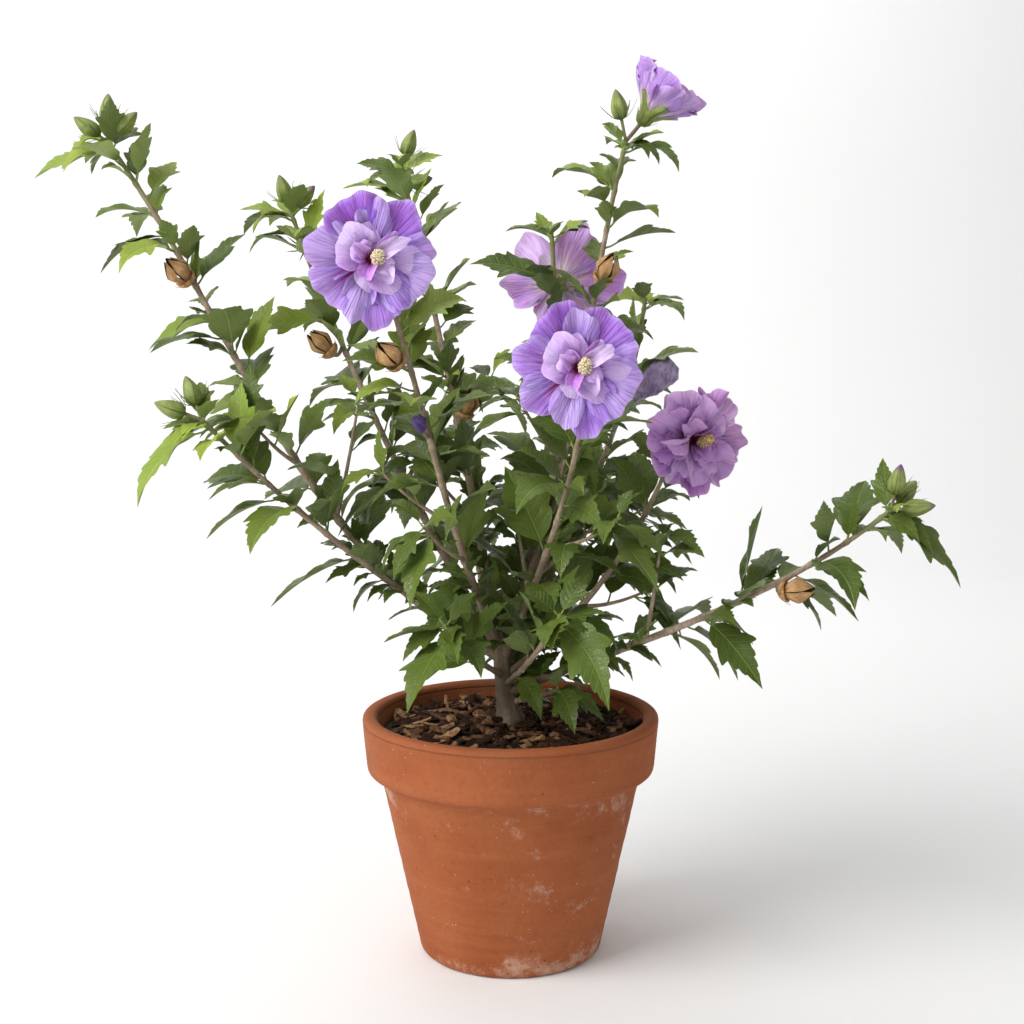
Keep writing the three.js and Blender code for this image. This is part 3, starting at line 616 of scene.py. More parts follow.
def leavesOn(line, owner, seed, pitch, scale, lowest, axil):
    start = math.radians(leafShape["turn"]) + 0.6 * (wobble(seed, 0.5) - 0.5)
    step = 0
    while True:
        share = 1 - (leafShape["tipGap"] + step * pitch) * mm / line.size
        if share < lowest:
            return
        crowded, between = share > growth["crowded"], step % 1 > 0
        young = min(1, 0.9 + 0.04 * step) * (growth["between"] if between else 1)
        length = leafShape["length"] * scale * young * (0.86 + 0.32 * wobble(seed, step)) * mm
        azimuth = start + step * math.radians(leafShape["spiral"])
        age = min(step * pitch / growth["oldAt"], 1.0)
        keepLeaf(leafAt(line, share, azimuth, seed, step), length, owner, age)
        for extra in range(0 if between else axil if crowded else axil // 2):  # small leaves in the axil
            turn = (0.75 + 0.5 * wobble(seed, step + 0.15 + extra)) * (1 if extra % 2 else -1)
            own = seed + 3.7 * (extra + 1)
            small = leafAt(line, share, azimuth + turn, own, step, 0.25, growth["axilStalk"])
            size = length * growth["axilScale"] * (0.75 + 0.6 * wobble(seed, step + 0.9 + extra))
            keepLeaf(small, size, owner, age * 0.8)
        step += 0.5 if axil > 1 and crowded else 1 - step % 1  # a smaller leaf in between


def tuft(line, owner, seed, share, scale, number, spread):  # small leaves round a tip
    for index in range(number):
        azimuth = circle * index / number + 1.9 * wobble(seed, 0.7)
        leaf = leafAt(line, share, azimuth, seed + 0.31 * index, 40 + index, spread, growth["tipStalk"])
        size = leafShape["length"] * scale * (0.75 + 0.5 * wobble(seed, 41.3 + index)) * mm
        keepLeaf(leaf, size, owner, 0.1 * index)


for seed, (stemName, stem) in enumerate(stems.items(), 1):
    line = lines[stemName]
    lowest = max(stem["bare"] - growth["bareTrim"], 0.04)
    leavesOn(line, stemName, seed, growth["stemPitch"], 1, lowest, 2)
    tuft(line, stemName, seed + 0.2, 0.985, growth["tipScale"], 4, -0.05)
    for index in range(1 + int(stem["bare"] / growth["shootSpacing"])):  # short shoots near the fork
        share = (index + 1) * growth["shootSpacing"]
        tuft(line, stemName, seed + 0.37 * index, share, growth["shootScale"], 3, 0.3)
    for index in range(stem["twigs"]):
        share = stem["bare"] + 0.07 + index * growth["twigSpacing"]
        tangent, across, inwards = line.frame(share)
        azimuth = seed * 1.3 + index * 2 * math.radians(leafShape["spiral"])
        flat = across * math.cos(azimuth) + inwards * math.sin(azimuth)
        way = (flat + tangent * growth["twigRise"]).normalized()
        size = growth["twigSize"] * mm * (0.8 + 0.45 * wobble(seed, index + 0.5))
        twig = TwigLine(line.point(share), way, size)
        if clearOf(np.array([twig.point(i / 6) for i in range(2, 7)]), stemName, room["behind"]):
            twigLines.append(twig)
            pitch, scale = growth["twigPitch"], growth["twigScale"]
            leavesOn(twig, stemName, seed + 20 * (index + 1), pitch, scale, 0.25, 1)
            tuft(twig, stemName, seed + index, 0.98, growth["twigScale"] * 0.62, 3, 0.1)
print("leaves", len(leaves), "twigs", len(twigLines))


def leafFinish(name, roughness, face, dark, vein):
    made = Finish(name, roughness, Specular_IOR_Level=0.42)
    across, along = made.parts(made.flat())[:2]
    side = abs(across)
    chevron = side.work("FRACT", (along - side * 0.75) * 9.0 + 0.5)
    branch = made.ramp(abs(chevron - 0.5), 0.0, 0.09, 1.0, 0.0) * made.ramp(side, 0.0, 0.34, 1.0, 0.25)
    veins = side.work("MAXIMUM", branch * 0.6, made.ramp(side, 0.004, 0.016, 1.0, 0.0))
    place = made.place()
    blotch = made.grain(place, 42.0, 3.0)
    fine = made.grain(place, 420.0)
    mesh = made.ramp(made.cells(place, 520.0, "DISTANCE_TO_EDGE"), 0.0, 0.12, 1.0, 0.0)
    made.paint(made.ramp(blotch * 0.6 + made.named() * 0.7, 0.3, 0.95), dark, face)
    made.over(mesh * 0.16 + fine * 0.14, vein)
    made.over(veins * 0.55, vein)
    made.link(made.ramp(fine, 0.3, 0.7, roughness - 0.07, roughness + 0.08), "Roughness")
    made.bump(veins * -1.0 + mesh * -0.3 + blotch * 0.5, 0.0006, 0.8)
    return made


leafLooks = {  # roughness, then face, dark and vein, above and below
    "young": (0.42, ("98ac36", "7a922c", "b0c060"), ("96a858", "7a9148", "b0bf80")),
    "mid": (0.37, ("7e922a", "627620", "92a64c"), ("869852", "728440", "a3b376")),
    "dark": (0.35, ("586c1e", "425616", "80943c"), ("76874a", "627340", "92a56a")),
}
# Leaves take the young, mid or dark look by age and at random, and also by place as painted light and shade:
# low down, near the trunk and inside the crown the dark look stands for shade, at the far left the young look
# stands for light, and at the right fewer leaves take it.
spread = {"young": 0.35, "left": 4, "right": 1.2, "dark": 0.25, "low": 2.4, "near": 3, "crownShade": 6}
picker = random.Random(5)
sprays = {tone: [] for tone in leafLooks}
for leaf in leaves:
    middle = leaf["blade"]
    out = math.hypot(middle.x, middle.y)
    # painted shade: leaves low down, near the trunk and inside the crown lean to the dark look
    low = max(0, 1 - middle.z / 0.42) * spread["low"] + max(0, 0.12 - out) * spread["near"]
    crownShade = max(0, 1 - out / 0.2) * max(0, 1 - middle.z / 0.5) * spread["crownShade"]
    # painted light at the left and painted shade at the right: more bright young leaves on the lamp's side,
    # fewer on the other
    litLeft, shadedRight = max(0, -0.1 - middle.x), max(0, middle.x - 0.1)
    oldest = spread["young"] + litLeft * spread["left"] - shadedRight * spread["right"]
    chance = picker.random()
    young = leaf["age"] < oldest and chance > spread["dark"] + low + crownShade
    sprays["young" if young else "dark" if chance < spread["dark"] + low else "mid"].append(leaf)
foliageNodes = sorted(n for n in frame["nodes"] if n.startswith("foliage_"))
mostTriangles = 195000  # in one piece
leafLimit = mostTriangles // len(leafFaces)
leafSpots = np.stack([leafPoints[:, 1], leafPoints[:, 0]], axis=1)
for tone, group in sprays.items():
    gloss, above, below = leafLooks[tone]
    finishes = leafFinish(f"leaf_{tone}", gloss, *above), leafFinish(f"leaf_{tone}_under", 0.6, *below)
    for start in range(0, len(group), leafLimit):
        heap = Heap()
        for leaf in group[start:start + leafLimit]:
            heap.add(leafCloud(leaf, leafPoints), leafFaces, leafSpots, picker.random(), leafSlots, leafRim)
        settle(heap.finish(f"leaves_{tone}_{start // leafLimit + 1}", finishes), "foliage", *foliageNodes)

stalks = Heap()
for leaf in leaves:
    root, end = leaf["root"], leaf["blade"] + leaf["way"] * leaf["length"] * 0.02
    middle = (root + end) / 2 - up * leaf["stalk"] * 0.06
    radius = growth["stalkRadius"] * mm * (0.6 + 0.4 * leaf["length"] / (leafShape["length"] * mm))
    tube(stalks, [root, middle, end], [radius * 1.25, radius, radius * 0.9], 5, leaf["age"])


def stalkFinish():
    made = Finish("leaf_stalk", 0.55)
    tone, grain = made.named(), made.grain(made.place(), 160.0)
    made.paint(made.ramp(tone + grain * 0.5, 0.3, 1.2), "8aa050", "6c7f42")
    made.bump(grain, 0.0004)
    return made


settle(stalks.finish("leaf_stalks", [stalkFinish()]), "foliage")

# Wood: the trunk and the boughs are one closed skin each, with ridges and a swelling at every leaf.

bark = {
    "step": 2.2, "sides": 14, "ridge": 0.3, "node": 0.55, "nodeReach": 1.8, "collar": 1.6, "collarReach": 7,
}
limbs, twigs = Heap(), Heap()


def relief(scale):
    def height(spot, angle, ring):
        coarse = noise.noise(Vector((spot.x * 160, spot.y * 160, spot.z * 55)))
        fine = noise.noise(Vector((spot.x * 520, spot.y * 520, spot.z * 170 + 9)))
        return (coarse * 0.7 + fine * 0.45) * bark["ridge"] * mm * scale
    return height


def trunkRadius(share):
    size = trunk["top"] - ground["crown"]
    flare = (trunk["flare"] - trunk["neck"]) * math.exp(-share * size / trunk["flareHeight"])
    return (trunk["neck"] + (trunk["crest"] - trunk["neck"]) * share ** 4 + flare) * mm


def trunkRelief(spot, angle, ring):
    share = ring / trunkRings
    buttress = 1.3 * math.cos(3 * angle + 0.6) * math.exp(-share * 6) + 0.5 * math.cos(5 * angle + share * 3)
    return buttress * mm + relief(2.0)(spot, angle, ring)


trunkRings = 44
shares = [i / trunkRings for i in range(-2, trunkRings + 1)]
radii = [trunkRadius(max(s, 0)) for s in shares]
tube(limbs, [trunkLine.point(s) for s in shares], radii, 36, 0.0, trunkRelief)
for stemName, stem in stems.items():
    line = lines[stemName]
    count = int(line.size / (bark["step"] * mm))
    shares = [i / count for i in range(count + 1)]
    knots = [1 - (leafShape["tipGap"] + step * growth["stemPitch"]) * mm / line.size for step in range(count)]
    knots = [knot for knot in knots if knot >= 0.06]
    radii = []
    for share in shares:
        swell = sum(math.exp(-((share - knot) * line.size / (bark["nodeReach"] * mm)) ** 2) for knot in knots)
        collar = bark["collar"] * mm * math.exp(-share * line.size / (bark["collarReach"] * mm))
        radius = stemThickness(stemName, share)
        radii.append(radius + swell * bark["node"] * mm + collar * (stem["radius"] / 3))
    tones = [0.1 + 0.9 * s ** 1.5 for s in shares]
    tube(limbs, [line.point(s) for s in shares], radii, bark["sides"], tones, relief(1.0))
for twig in twigLines:
    shares = [i / 10 for i in range(11)]
    radii = [growth["twigRadius"] * mm * (1.25 - 0.55 * s + 0.2 * math.exp(-s * 10)) for s in shares]
    tube(twigs, [twig.point(s) for s in shares], radii, 8, [0.4 + 0.3 * s for s in shares], relief(0.5))


def barkLook():
    made = Finish("bark", 0.78)
    grain = made.grain(made.place((1, 1, 0.28)), 900.0, 5.0, 0.6)
    blotch = made.grain(made.place(), 70.0, 4.0)
    tone = made.named()
    lenticel = made.ramp(made.cells(made.place((1, 1, 0.6)), 480.0), 0.1, 0.2, 1.0, 0.0)
    made.paint(made.ramp(blotch, 0.35, 0.68), "94806a", "c2ad94")
    made.over(made.ramp(grain, 0.35, 0.7) * 0.6, "726250")
    made.over(lenticel * 0.5, "d2c2a8")
    # painted shade of the crown: darkest on the trunk, fading up the feet of the stems
    made.over(made.ramp(tone, 0.0, 0.3, 0.6, 0.0), "4a3b26")  # darker near the trunk, green at the tips
    made.over(made.ramp(tone + blotch * 0.2, 0.86, 1.12), made.mix(blotch, "6d7a43", "8a9152"))
    made.bump(grain * 0.7 + lenticel * 0.6, 0.0007, 0.9)
    return made


barkFinish = barkLook()
boughNodes = sorted(n for n in frame["nodes"] if n.startswith("bough_"))
settle(limbs.finish("limbs", [barkFinish]), "bark", "trunk", *boughNodes)

# Flowers: petals are flat outlines laid on a turned profile, then ruffled.

blossom = {
    "thick": 0.35, "calyxLength": 14, "rows": 16, "columns": 37, "innerRows": 13, "innerColumns": 23,
    "sweep": 122, "ruffle": 2.4, "crimp": 1.1, "pleat": 0.5, "furl": 2.2, "rimCurl": 2.6, "bell": 2.3,
    "columnFoot": (3.5, -5.5), "columnTip": (5, 3.5, 12.5), "stamens": 96, "secondTurn": 23,
    "throat": [(3, 9), (5.5, 12.5), (6.2, 15), (4.4, 15.8)],  # radius and height of the plug in the middle
    # angle, half width and reach as shares of the radius, lift in mm, tone from violet 0 to pale 1
    "outer": [
        (111, 0.47, 1.03, 0.0, 0.1), (49, 0.45, 1.02, 0.2, 0.16), (13, 0.34, 0.98, 0.7, 0.45),
        (84, 0.29, 0.9, 3.2, 0.62), (168, 0.44, 1.0, 1.6, 0.5), (213, 0.43, 1.0, 0.5, 0.48),
        (280, 0.38, 1.08, 1.0, 0.28), (251, 0.27, 0.98, 3.0, 0.7), (328, 0.5, 1.0, 2.0, 0.58),
        (303, 0.3, 0.93, 2.8, 0.36),
    ],
    # angle, half width, reach, height in mm, cup, twist, tone
    "inner": [
        (101, 0.2, 0.5, 10, 0.25, 0.3, 0.5), (130, 0.31, 0.58, 10, 0.3, -0.3, 0.6),
        (166, 0.29, 0.52, 9, 0.3, 0.25, 0.42), (27, 0.13, 0.6, 17, 0.8, -0.4, 1.0),
        (46, 0.1, 0.54, 13, 0.6, 0.4, 0.35), (353, 0.32, 0.82, 10, -0.25, 0.15, 0.58),
        (318, 0.31, 0.62, 9, 0.25, -0.4, 0.5), (280, 0.31, 0.46, 9, 0.45, 0.2, 0.72),
        (248, 0.14, 0.28, 13, 0.8, 0.5, 0.05), (338, 0.15, 0.36, 13, 0.5, -0.3, 0.6),
        (160, 0.15, 0.3, 13, 0.6, -0.5, 0.4), (128, 0.14, 0.28, 13, 0.6, 0.4, 0.3),
    ],
}
outerPetals, innerPetals, columns, calyces, blossomStalks = Heap(), Heap(), Heap(), Heap(), Heap()


def seat(facing, origin):  # flower space: x to the right, y up, z towards the viewer
    ahead = Vector(facing).normalized()
    right = up.cross(ahead)
    right = right.normalized() if right.length > 0.05 else Vector((1, 0, 0))
    return Matrix.Translation(origin) @ Matrix((right, ahead.cross(right), ahead)).transposed().to_4x4()


def moved(points, matrix):
    turn = np.array(matrix.to_3x3())
    return points @ turn.T + np.array(matrix.translation)


def grid(rows, count, start=0.0):  # s runs from foot to tip and t from side to side
    s = np.linspace(start, 1, rows)[:, None] * np.ones((1, count))
    return s, np.linspace(-1, 1, count)[None, :] * np.ones((rows, 1))


def laid(heap, matrix, places, s, t, thick, tone, slots=(0, 0)):  # a sheet in flower space
    top = np.stack(places, axis=2)
    top = moved(top.reshape(-1, 3), matrix).reshape(top.shape)
    sheet(heap, top, thick * mm, np.stack([t * 0.5 + 0.5, s], axis=2), tone, slots)


def petalFan(rows, count, half, reach, draw, notch):  # columns fan out from the foot to an egg-shaped rim
    s, t = grid(rows, count, 0.06)
    sweep = t * math.radians(blossom["sweep"])
    rim = 1 - notch * (1 + np.cos(t * (4.5 + 4 * draw[0]) + 6 * draw[1]))
    rim = rim - 0.3 * notch * np.sin(t * 19 + 6 * draw[2])
    across = half * np.sin(sweep) * rim * s
    along = reach * (0.6 + 0.4 * np.cos(sweep)) * rim * s
    return s, t, across, along


def outerPetal(petal, flower, seed, matrix):
    angle, half, reach, lift, tone = petal
    closed, ruffled = flower["closed"], flower["ruffled"]
    radius, depth = flower["radius"] * mm, flower["depth"] * mm
    draw = [wobble(seed, k * 0.37) for k in range(9)]
    half = half * flower["slim"]
    s, t, across, along = petalFan(blossom["rows"], blossom["columns"], half, reach, draw, 0.05 * ruffled)
    path = np.hypot(across, along)
    turn = math.radians(angle + flower["spin"]) + np.arctan2(across, along) * (1 + 0.9 * closed)
    bell = 0.97 * (1 - (1 - np.minimum(path, 1)) ** blossom["bell"])
    out = radius * ((1 - closed) * path + closed * bell)
    start = blossom["calyxLength"] - 1 - 5 * closed
    rise = (1 - closed) * path ** 0.62 + closed * path * 1.22
    level = start * mm + depth * rise
    wave = blossom["ruffle"] * s ** 2 * np.sin(t * (5 + 3 * draw[3]) + 6 * draw[4])
    crimp = blossom["crimp"] * (0.4 + draw[1]) * (1 + closed)
    wave += crimp * s ** 4 * np.sin(t * (15 + 6 * draw[5]) + 6 * draw[6])
    wave += 0.8 * s ** 1.5 * np.sin(s * 7 + t * 3 + 6 * draw[7])
    wave = wave * ruffled + blossom["pleat"] * np.sin(t * 30 + 6 * draw[6]) * s * (1.1 - s)
    wave += closed * blossom["furl"] * np.sin(t * 9 + 6 * draw[0]) * s * (1.3 - s)
    curl = -blossom["rimCurl"] * (np.maximum(s - 0.8, 0) / 0.2) ** 2 * (0.2 + 0.9 * draw[8])
    cup = 3.4 * (draw[5] - 0.6) * t ** 2 * s * (1 - 0.8 * closed)
    raised = (wave + curl * (1 - 1.4 * closed) + cup + lift * s ** 0.6) * mm
    out = out - raised * closed
    level = level + raised * (1 - 0.8 * closed)
    tone = min(max(tone - flower["deep"] + 0.1 * (draw[2] - 0.5), 0), 1)
    places = [out * np.cos(turn), out * np.sin(turn), level]
    laid(outerPetals, matrix, places, s, t, blossom["thick"], tone, (3, flower["hue"]))


def innerPetal(petal, flower, seed, matrix):
    angle, half, reach, rise, cup, twist, tone = petal
    radius, ruffled = flower["radius"] * mm, flower["ruffled"]
    draw = [wobble(seed, k * 0.41 + 0.2) for k in range(9)]
    rows, columns = blossom["innerRows"], blossom["innerColumns"]
    s, t, across, along = petalFan(rows, columns, half, 1, draw, 0.035 * ruffled)
    size = radius * flower["full"]
    out = 1.6 * mm + size * reach * along ** 1.25
    climb = (1 - (1 - np.minimum(along, 1)) ** 1.8 - 0.3 * np.maximum(along - 0.7, 0) / 0.3) * rise * mm
    level = (blossom["calyxLength"] + 2.5) * mm + climb * flower["full"]
    slope = np.arctan2(np.gradient(level, axis=0), np.gradient(out, axis=0))
    lean = twist * along
    side = across * size
    raised = cup * np.abs(side) ** 2 / (half * size) + side * np.sin(lean)
    ripple = 1.3 * np.sin(t * (5 + 3 * draw[4]) + 6 * draw[5]) + 0.3 * np.sin(t * 16 + 6 * draw[6])
    raised += ruffled * mm * s ** 2 * ripple
    turn = math.radians(angle + flower["spin"] + 10 * (draw[7] - 0.5))
    away = out - raised * np.sin(slope)
    level = level + raised * np.cos(slope)
    side = side * np.cos(lean)
    tone = min(max(tone - flower["deep"] * 0.6 + 0.14 * (draw[8] - 0.5), 0), 1)
    cos, sin = math.cos(turn), math.sin(turn)
    places = [away * cos - side * sin, away * sin + side * cos, level]
    laid(innerPetals, matrix, places, s, t, blossom["thick"], tone, (flower["hue"], flower["hue"]))


def knob(sides=6, rings=4):
    points = [(0, 0, -1)]
    for row in range(1, rings):
        level = math.pi * row / rings
        for side in range(sides):
            angle = circle * side / sides
            reach = math.sin(level)
            points.append((reach * math.cos(angle), reach * math.sin(angle), -math.cos(level)))
    points.append((0, 0, 1))
    faces = [(0, 1 + (side + 1) % sides, 1 + side) for side in range(sides)]
    faces += [tuple(i + 1 for i in face) for face in ringFaces(rings - 1, sides)]
    last = len(points) - 1
    faces += [(last, last - sides + side, last - sides + (side + 1) % sides) for side in range(sides)]
    return np.array(points), faces


knobPoints, knobFaces = knob()


def stamenColumn(matrix, depth, seed, gold, reach):
    base = blossom["calyxLength"] * mm
    foot = Vector((blossom["columnFoot"][0] * mm, blossom["columnFoot"][1] * mm, base))
    right, above, ahead = blossom["columnTip"]
    tip = Vector((right * mm, above * mm, base + (depth * 0.6 + ahead * mm) * reach))
    draws = random.Random(seed)
    path = [matrix @ foot.lerp(tip, i / 8) for i in range(9)]
    tube(columns, path, [(1.9 + 0.25 * i / 8) * mm for i in range(9)], 10, 0.45)
    for index in range(blossom["stamens"]):
        share = 0.5 + 0.54 * index / (blossom["stamens"] - 1)
        angle = index * math.radians(leafShape["spiral"])
        swell = math.sin(min((share - 0.35) * 1.6, 1) * math.pi) ** 0.5
        reach = (1.4 + 2.4 * swell + draws.uniform(-0.5, 0.6)) * mm
        centre = foot.lerp(tip, share) + Vector((math.cos(angle), math.sin(angle), 0.35)) * reach
        size = draws.uniform(0.55, 0.9) * mm
        blob = knobPoints * np.array((size, size, size * 0.75)) + np.array(centre)
        columns.add(moved(blob, matrix), knobFaces, tone=draws.uniform(0.5, 1) - gold)


def turned(heap, matrix, profile, sides, shape, tone=0.5, spotTop=1.0):
    points, spots = [], []
    for row, (radius, height) in enumerate(profile):
        for side in range(sides):
            angle = circle * side / sides
            r, z = shape(radius, height, angle, row)
            points.append((r * math.cos(angle) * mm, r * math.sin(angle) * mm, z * mm))
            spots.append((side / sides, spotTop * row / (len(profile) - 1)))
    points += [tuple(np.mean(points[:sides], axis=0)), tuple(np.mean(points[-sides:], axis=0))]
    spots += [(0.5, 0), (0.5, spotTop)]
    heap.add(moved(np.array(points), matrix), closedFaces(len(profile), sides), spots, tone)


def fluted(depth):  # a turned form with five soft ribs
    return lambda radius, height, angle, row: (radius * (1 + depth * math.cos(5 * angle)), height)


def bracts(heap, matrix, length, half, root, spread=0.62, start=0.0):  # thin leaflets under a calyx
    s, t = grid(7, 3)
    out = (root + length * spread * s ** 0.9) * mm
    side = half * mm * t * (0.45 + s) * (1 - s ** 1.6)
    height = (0.5 + length * 0.75 * s ** 1.4 + 0.5 * np.abs(t)) * mm
    for index in range(7):
        turn = Matrix.Rotation(circle * index / 7 + start, 4, "Z")
        laid(heap, matrix @ turn, [out, side, height], s * 0.7, t, 0.35, 0.4)


calyxShape = {
    "profile": [
        (1.5, 0), (4.2, 1.2), (6.2, 4), (6.9, 8), (7.2, 12), (7.6, 15), (6.9, 15.4), (6.2, 12), (4, 9),
    ],
    "lobeRise": {4: 2.0, 5: 8.0, 6: 8.0},  # how far each row of the profile rises in the points
    "lobeSpread": {4: 0.9, 5: 3.0, 6: 3.0},
}


def calyx(matrix, scale, closed):
    def lobes(radius, height, angle, row):
        point = abs(math.cos(2.5 * angle)) ** 1.6
        radius += point * calyxShape["lobeSpread"].get(row, 0) * (1 + 3.2 * closed)
        height += point * calyxShape["lobeRise"].get(row, 0) * (1 - 0.25 * closed)
        return radius * scale * (1 + 0.03 * math.cos(10 * angle)), height * scale
    turned(calyces, matrix, calyxShape["profile"], 40, lobes, 0.5, 0.9)
    bracts(calyces, matrix, 12 * scale, 1.2 * scale, 2.4 * scale, start=0.3)


def bentStalk(start, end, facing, radius, sides, tone, rough, count=10):
    control = end - facing * (end - start).length / 2
    shares = [i / count for i in range(count + 1)]
    path = [start * (1 - s) ** 2 + control * 2 * s * (1 - s) + end * s ** 2 for s in shares]
    tube(blossomStalks, path, [radius * mm] * len(path), sides, tone, relief(rough))


for index, flower in enumerate(flowers.values()):
    facing = Vector(flower["facing"]).normalized()
    foot = Vector(flower["middle"]) * mm - facing * (flower["depth"] + blossom["calyxLength"]) * mm
    matrix = seat(facing, foot)
    for number, petal in enumerate(blossom["outer"]):
        if petal[1] >= flower["least"]:
            outerPetal(petal, flower, number + 1 + 0.01 * index, matrix)
    for number, petal in enumerate(blossom["inner"]):
        innerPetal(petal, flower, number + 31 + 0.01 * index, matrix)
        if number < flower["second"]:
            angle, half, reach, rise, cup, twist, tone = petal
            angle, reach = angle + blossom["secondTurn"], min(reach * 1.3, 0.72)
            second = (angle, half * 1.25, reach, rise * 0.75, -cup, -twist, 1 - tone)
            innerPetal(second, flower, number + 61, matrix)
    gold = 0.5 if flower["hue"] == 1 else 0
    stamenColumn(matrix, flower["depth"] * mm, index, gold, 1 - 0.5 * flower["closed"])
    calyx(matrix, flower["calyx"], flower["closed"])
    turned(innerPetals, matrix, blossom["throat"], 16, fluted(0.08), 0.2, 0.04)
    bentStalk(lines[flower["stem"]].point(flower["share"]), foot + facing * mm, facing, 1.5, 8, 0.6, 0.4)


def petalFinish(name, pale, strong, vein, throat, throatReach, veined=1.0):
    made = Finish(name, 0.5, Specular_IOR_Level=0.35, Subsurface_Weight=0.15, Subsurface_Scale=0.004)
    across, along = made.parts(made.flat())[:2]
    tone = made.named()
    broad = made.node("ShaderNodeCombineXYZ", sockets={0: across * 17.0, 1: along * 1.1, 2: tone * 9.0})
    narrow = made.node("ShaderNodeCombineXYZ", sockets={0: across * 58.0, 1: along * 2.2, 2: tone * 5.0})
    streak = made.ramp(made.grain(broad, 1.0, 2.0, 0.6), 0.4, 0.66)
    line = made.ramp(made.grain(narrow, 1.0, 1.0), 0.5, 0.62)
    fine = made.grain(made.place(), 700.0)
    fade = made.ramp(along, 0.2, 0.95, 1.0, 0.25)
    made.paint(made.ramp(tone * 0.8 + made.grain(made.place(), 55.0, 3.0) * 0.8, 0.38, 1.12), strong, pale)
    made.over(streak * fade * (1.1 - tone) * (0.75 * veined), strong)
    made.over(line * fade * (0.7 * veined), vein)
    made.over(made.ramp(along, 0.9, 1.0) * 0.35, pale)
    made.over(made.ramp(along - streak * 0.2 - line * 0.12, throatReach * 0.2, throatReach, 1.0, 0.0), throat)
    made.bump(line * -0.6 * veined + streak * -0.6 * veined + fine * 0.2, 0.0009, 0.9)
    return made


outerFinishes = [petalFinish(*look) for look in (
    ("petals_violet", "d2b6f4", "9e68d6", "7438aa", "9a2464", 0.52),
    ("petals_mauve", "e0b8e6", "b47cc8", "9858b0", "861440", 0.4, 0.7),
    ("petals_pale", "e6ccf0", "c094d8", "a878c8", "c060a0", 0.3, 0.5),
    ("petals_back", "dcbcee", "b486d6", "9c6ec8", "f0cfe0", 0.45, 0.8),
)]
innerFinishes = [petalFinish(*look) for look in (
    ("petaloids_violet", "e6caf8", "c888e2", "b068d2", "b02c70", 0.4, 0.35),
    ("petaloids_mauve", "deb2e6", "b67eca", "a064b8", "861440", 0.34, 0.4),
    ("petaloids_pale", "ead6f4", "c8a0de", "b080cc", "c060a0", 0.3, 0.4),
)]
settle(outerPetals.finish("outer_petals", outerFinishes), "petals", *sorted(flowers))
settle(innerPetals.finish("inner_petals", innerFinishes), "petals")


def columnFinish():
    made = Finish("stamen_column", 0.6)
    tone, grain = made.named(), made.grain(made.place(), 900.0)
    made.paint(made.ramp(tone + grain * 0.4, 0.1, 1.2), "c9a24c", "f4eccb")
    made.bump(grain, 0.0005)
    return made


settle(columns.finish("stamen_columns", [columnFinish()]), "petals")

# Flowers that have withered and rolled themselves shut.

roll = Heap()
rollCount = 40


def crumple(spot, angle, ring):
    share = ring / rollCount
    twist = angle + share * 1.6
    fold = 1.6 * abs(math.sin(2.5 * twist)) ** 0.7 - 1.2 + 0.7 * math.sin(9 * twist + 4 * share)
    return (fold * (0.35 + share) + noise.noise(spot * 220) * 1.4) * mm


shares = [i / rollCount for i in range(rollCount + 1)]
widths = [0.28 + 0.72 * math.sin(min(s * 1.25, 1) * math.pi / 2) - 3.3 * max(s - 0.85, 0) for s in shares]
for old in withered:
    start = lines[old["stem"]].point(old["share"])
    foot, tip = start + Vector(old["foot"]) * mm, start + Vector(old["tip"]) * mm
    path = [foot.lerp(tip, s) for s in shares]
    tube(roll, path, [old["radius"] * mm * w for w in widths], 44, old["fresh"], crumple)
    tube(blossomStalks, [start, start.lerp(foot, 0.6), foot.lerp(tip, 0.1)], [1.3 * mm] * 3, 8, 0.6)


def rollFinish():
    made = Finish("withered_petals", 0.75)
    cloud = made.grain(made.place(), 120.0, 4.0)
    streak = made.grain(made.place((1, 1, 0.2)), 700.0, 3.0)
    made.base = made.mix(made.ramp(cloud, 0.35, 0.65), "957fa9", "bfacd0")
    made.paint(made.named(), "5a4484", made.base)
    made.over(made.ramp(streak, 0.5, 0.68) * 0.6, "665478")
    made.bump(streak + cloud, 0.0009)
    return made


settle(roll.finish("withered_flower", [rollFinish()]), "petals", "flower_withered")

# Buds and seed pods: the share of the stem they hang from, and where their middle is from there in mm.

buds = {
    "far_left": [(1, -12, -5, 9), (1, 1, 2, 22), (1, 15, -3, 12)],
    "low_left": [(1, -19, -4, 7), (1, -7, 5, 18)],
    "left_back": [(1, -4, -5, 15), (1, 12, -4, 10), (0.91, 1, -15, 4)],
    "mid_back": [(1, 7, -3, 16), (0.96, 12, -6, 2)],
    "tall_right": [(1, -6, -4, 24)], "low_right": [(1, 2, -4, 20), (1, 16, -6, 2), (1, 12, 9, 11)],
    "rear_left": [(1, -2, 6, 18)], "rear_right": [(1, 4, 8, 16)],
}
pods = {
    "far_left": [(0.77, -3, -13, -2)], "left_back": [(0.7, -14, -10, 1)],
    "left_front": [(0.82, -10, -12, -2)],
    "mid_back": [(0.5, 11, -12, 0)], "tall_right": [(0.75, 5, -13, 0)], "low_right": [(0.71, 9, -9, -5)],
}
budShape = {
    "length": 21, "flushed": (7, 12),  # the buds that show their petals
    "profile": [
        (1.2, 0), (3.6, 1.2), (5.0, 3.6), (5.6, 6.5), (5.4, 9.5), (4.7, 12.5), (3.6, 15.6), (2.3, 18.3),
        (0.9, 20.4), (0.25, 21),
    ],
}
podShape = {
    "length": 24, "radius": 8.6, "valves": 5, "foot": 1.5, "thick": 0.9,
    "cup": [(1.4, -1), (4.5, 0.6), (6.9, 3), (7.6, 5.5), (6.8, 5.5), (4, 2)],
}
budHeap, podHeap = Heap(), Heap()


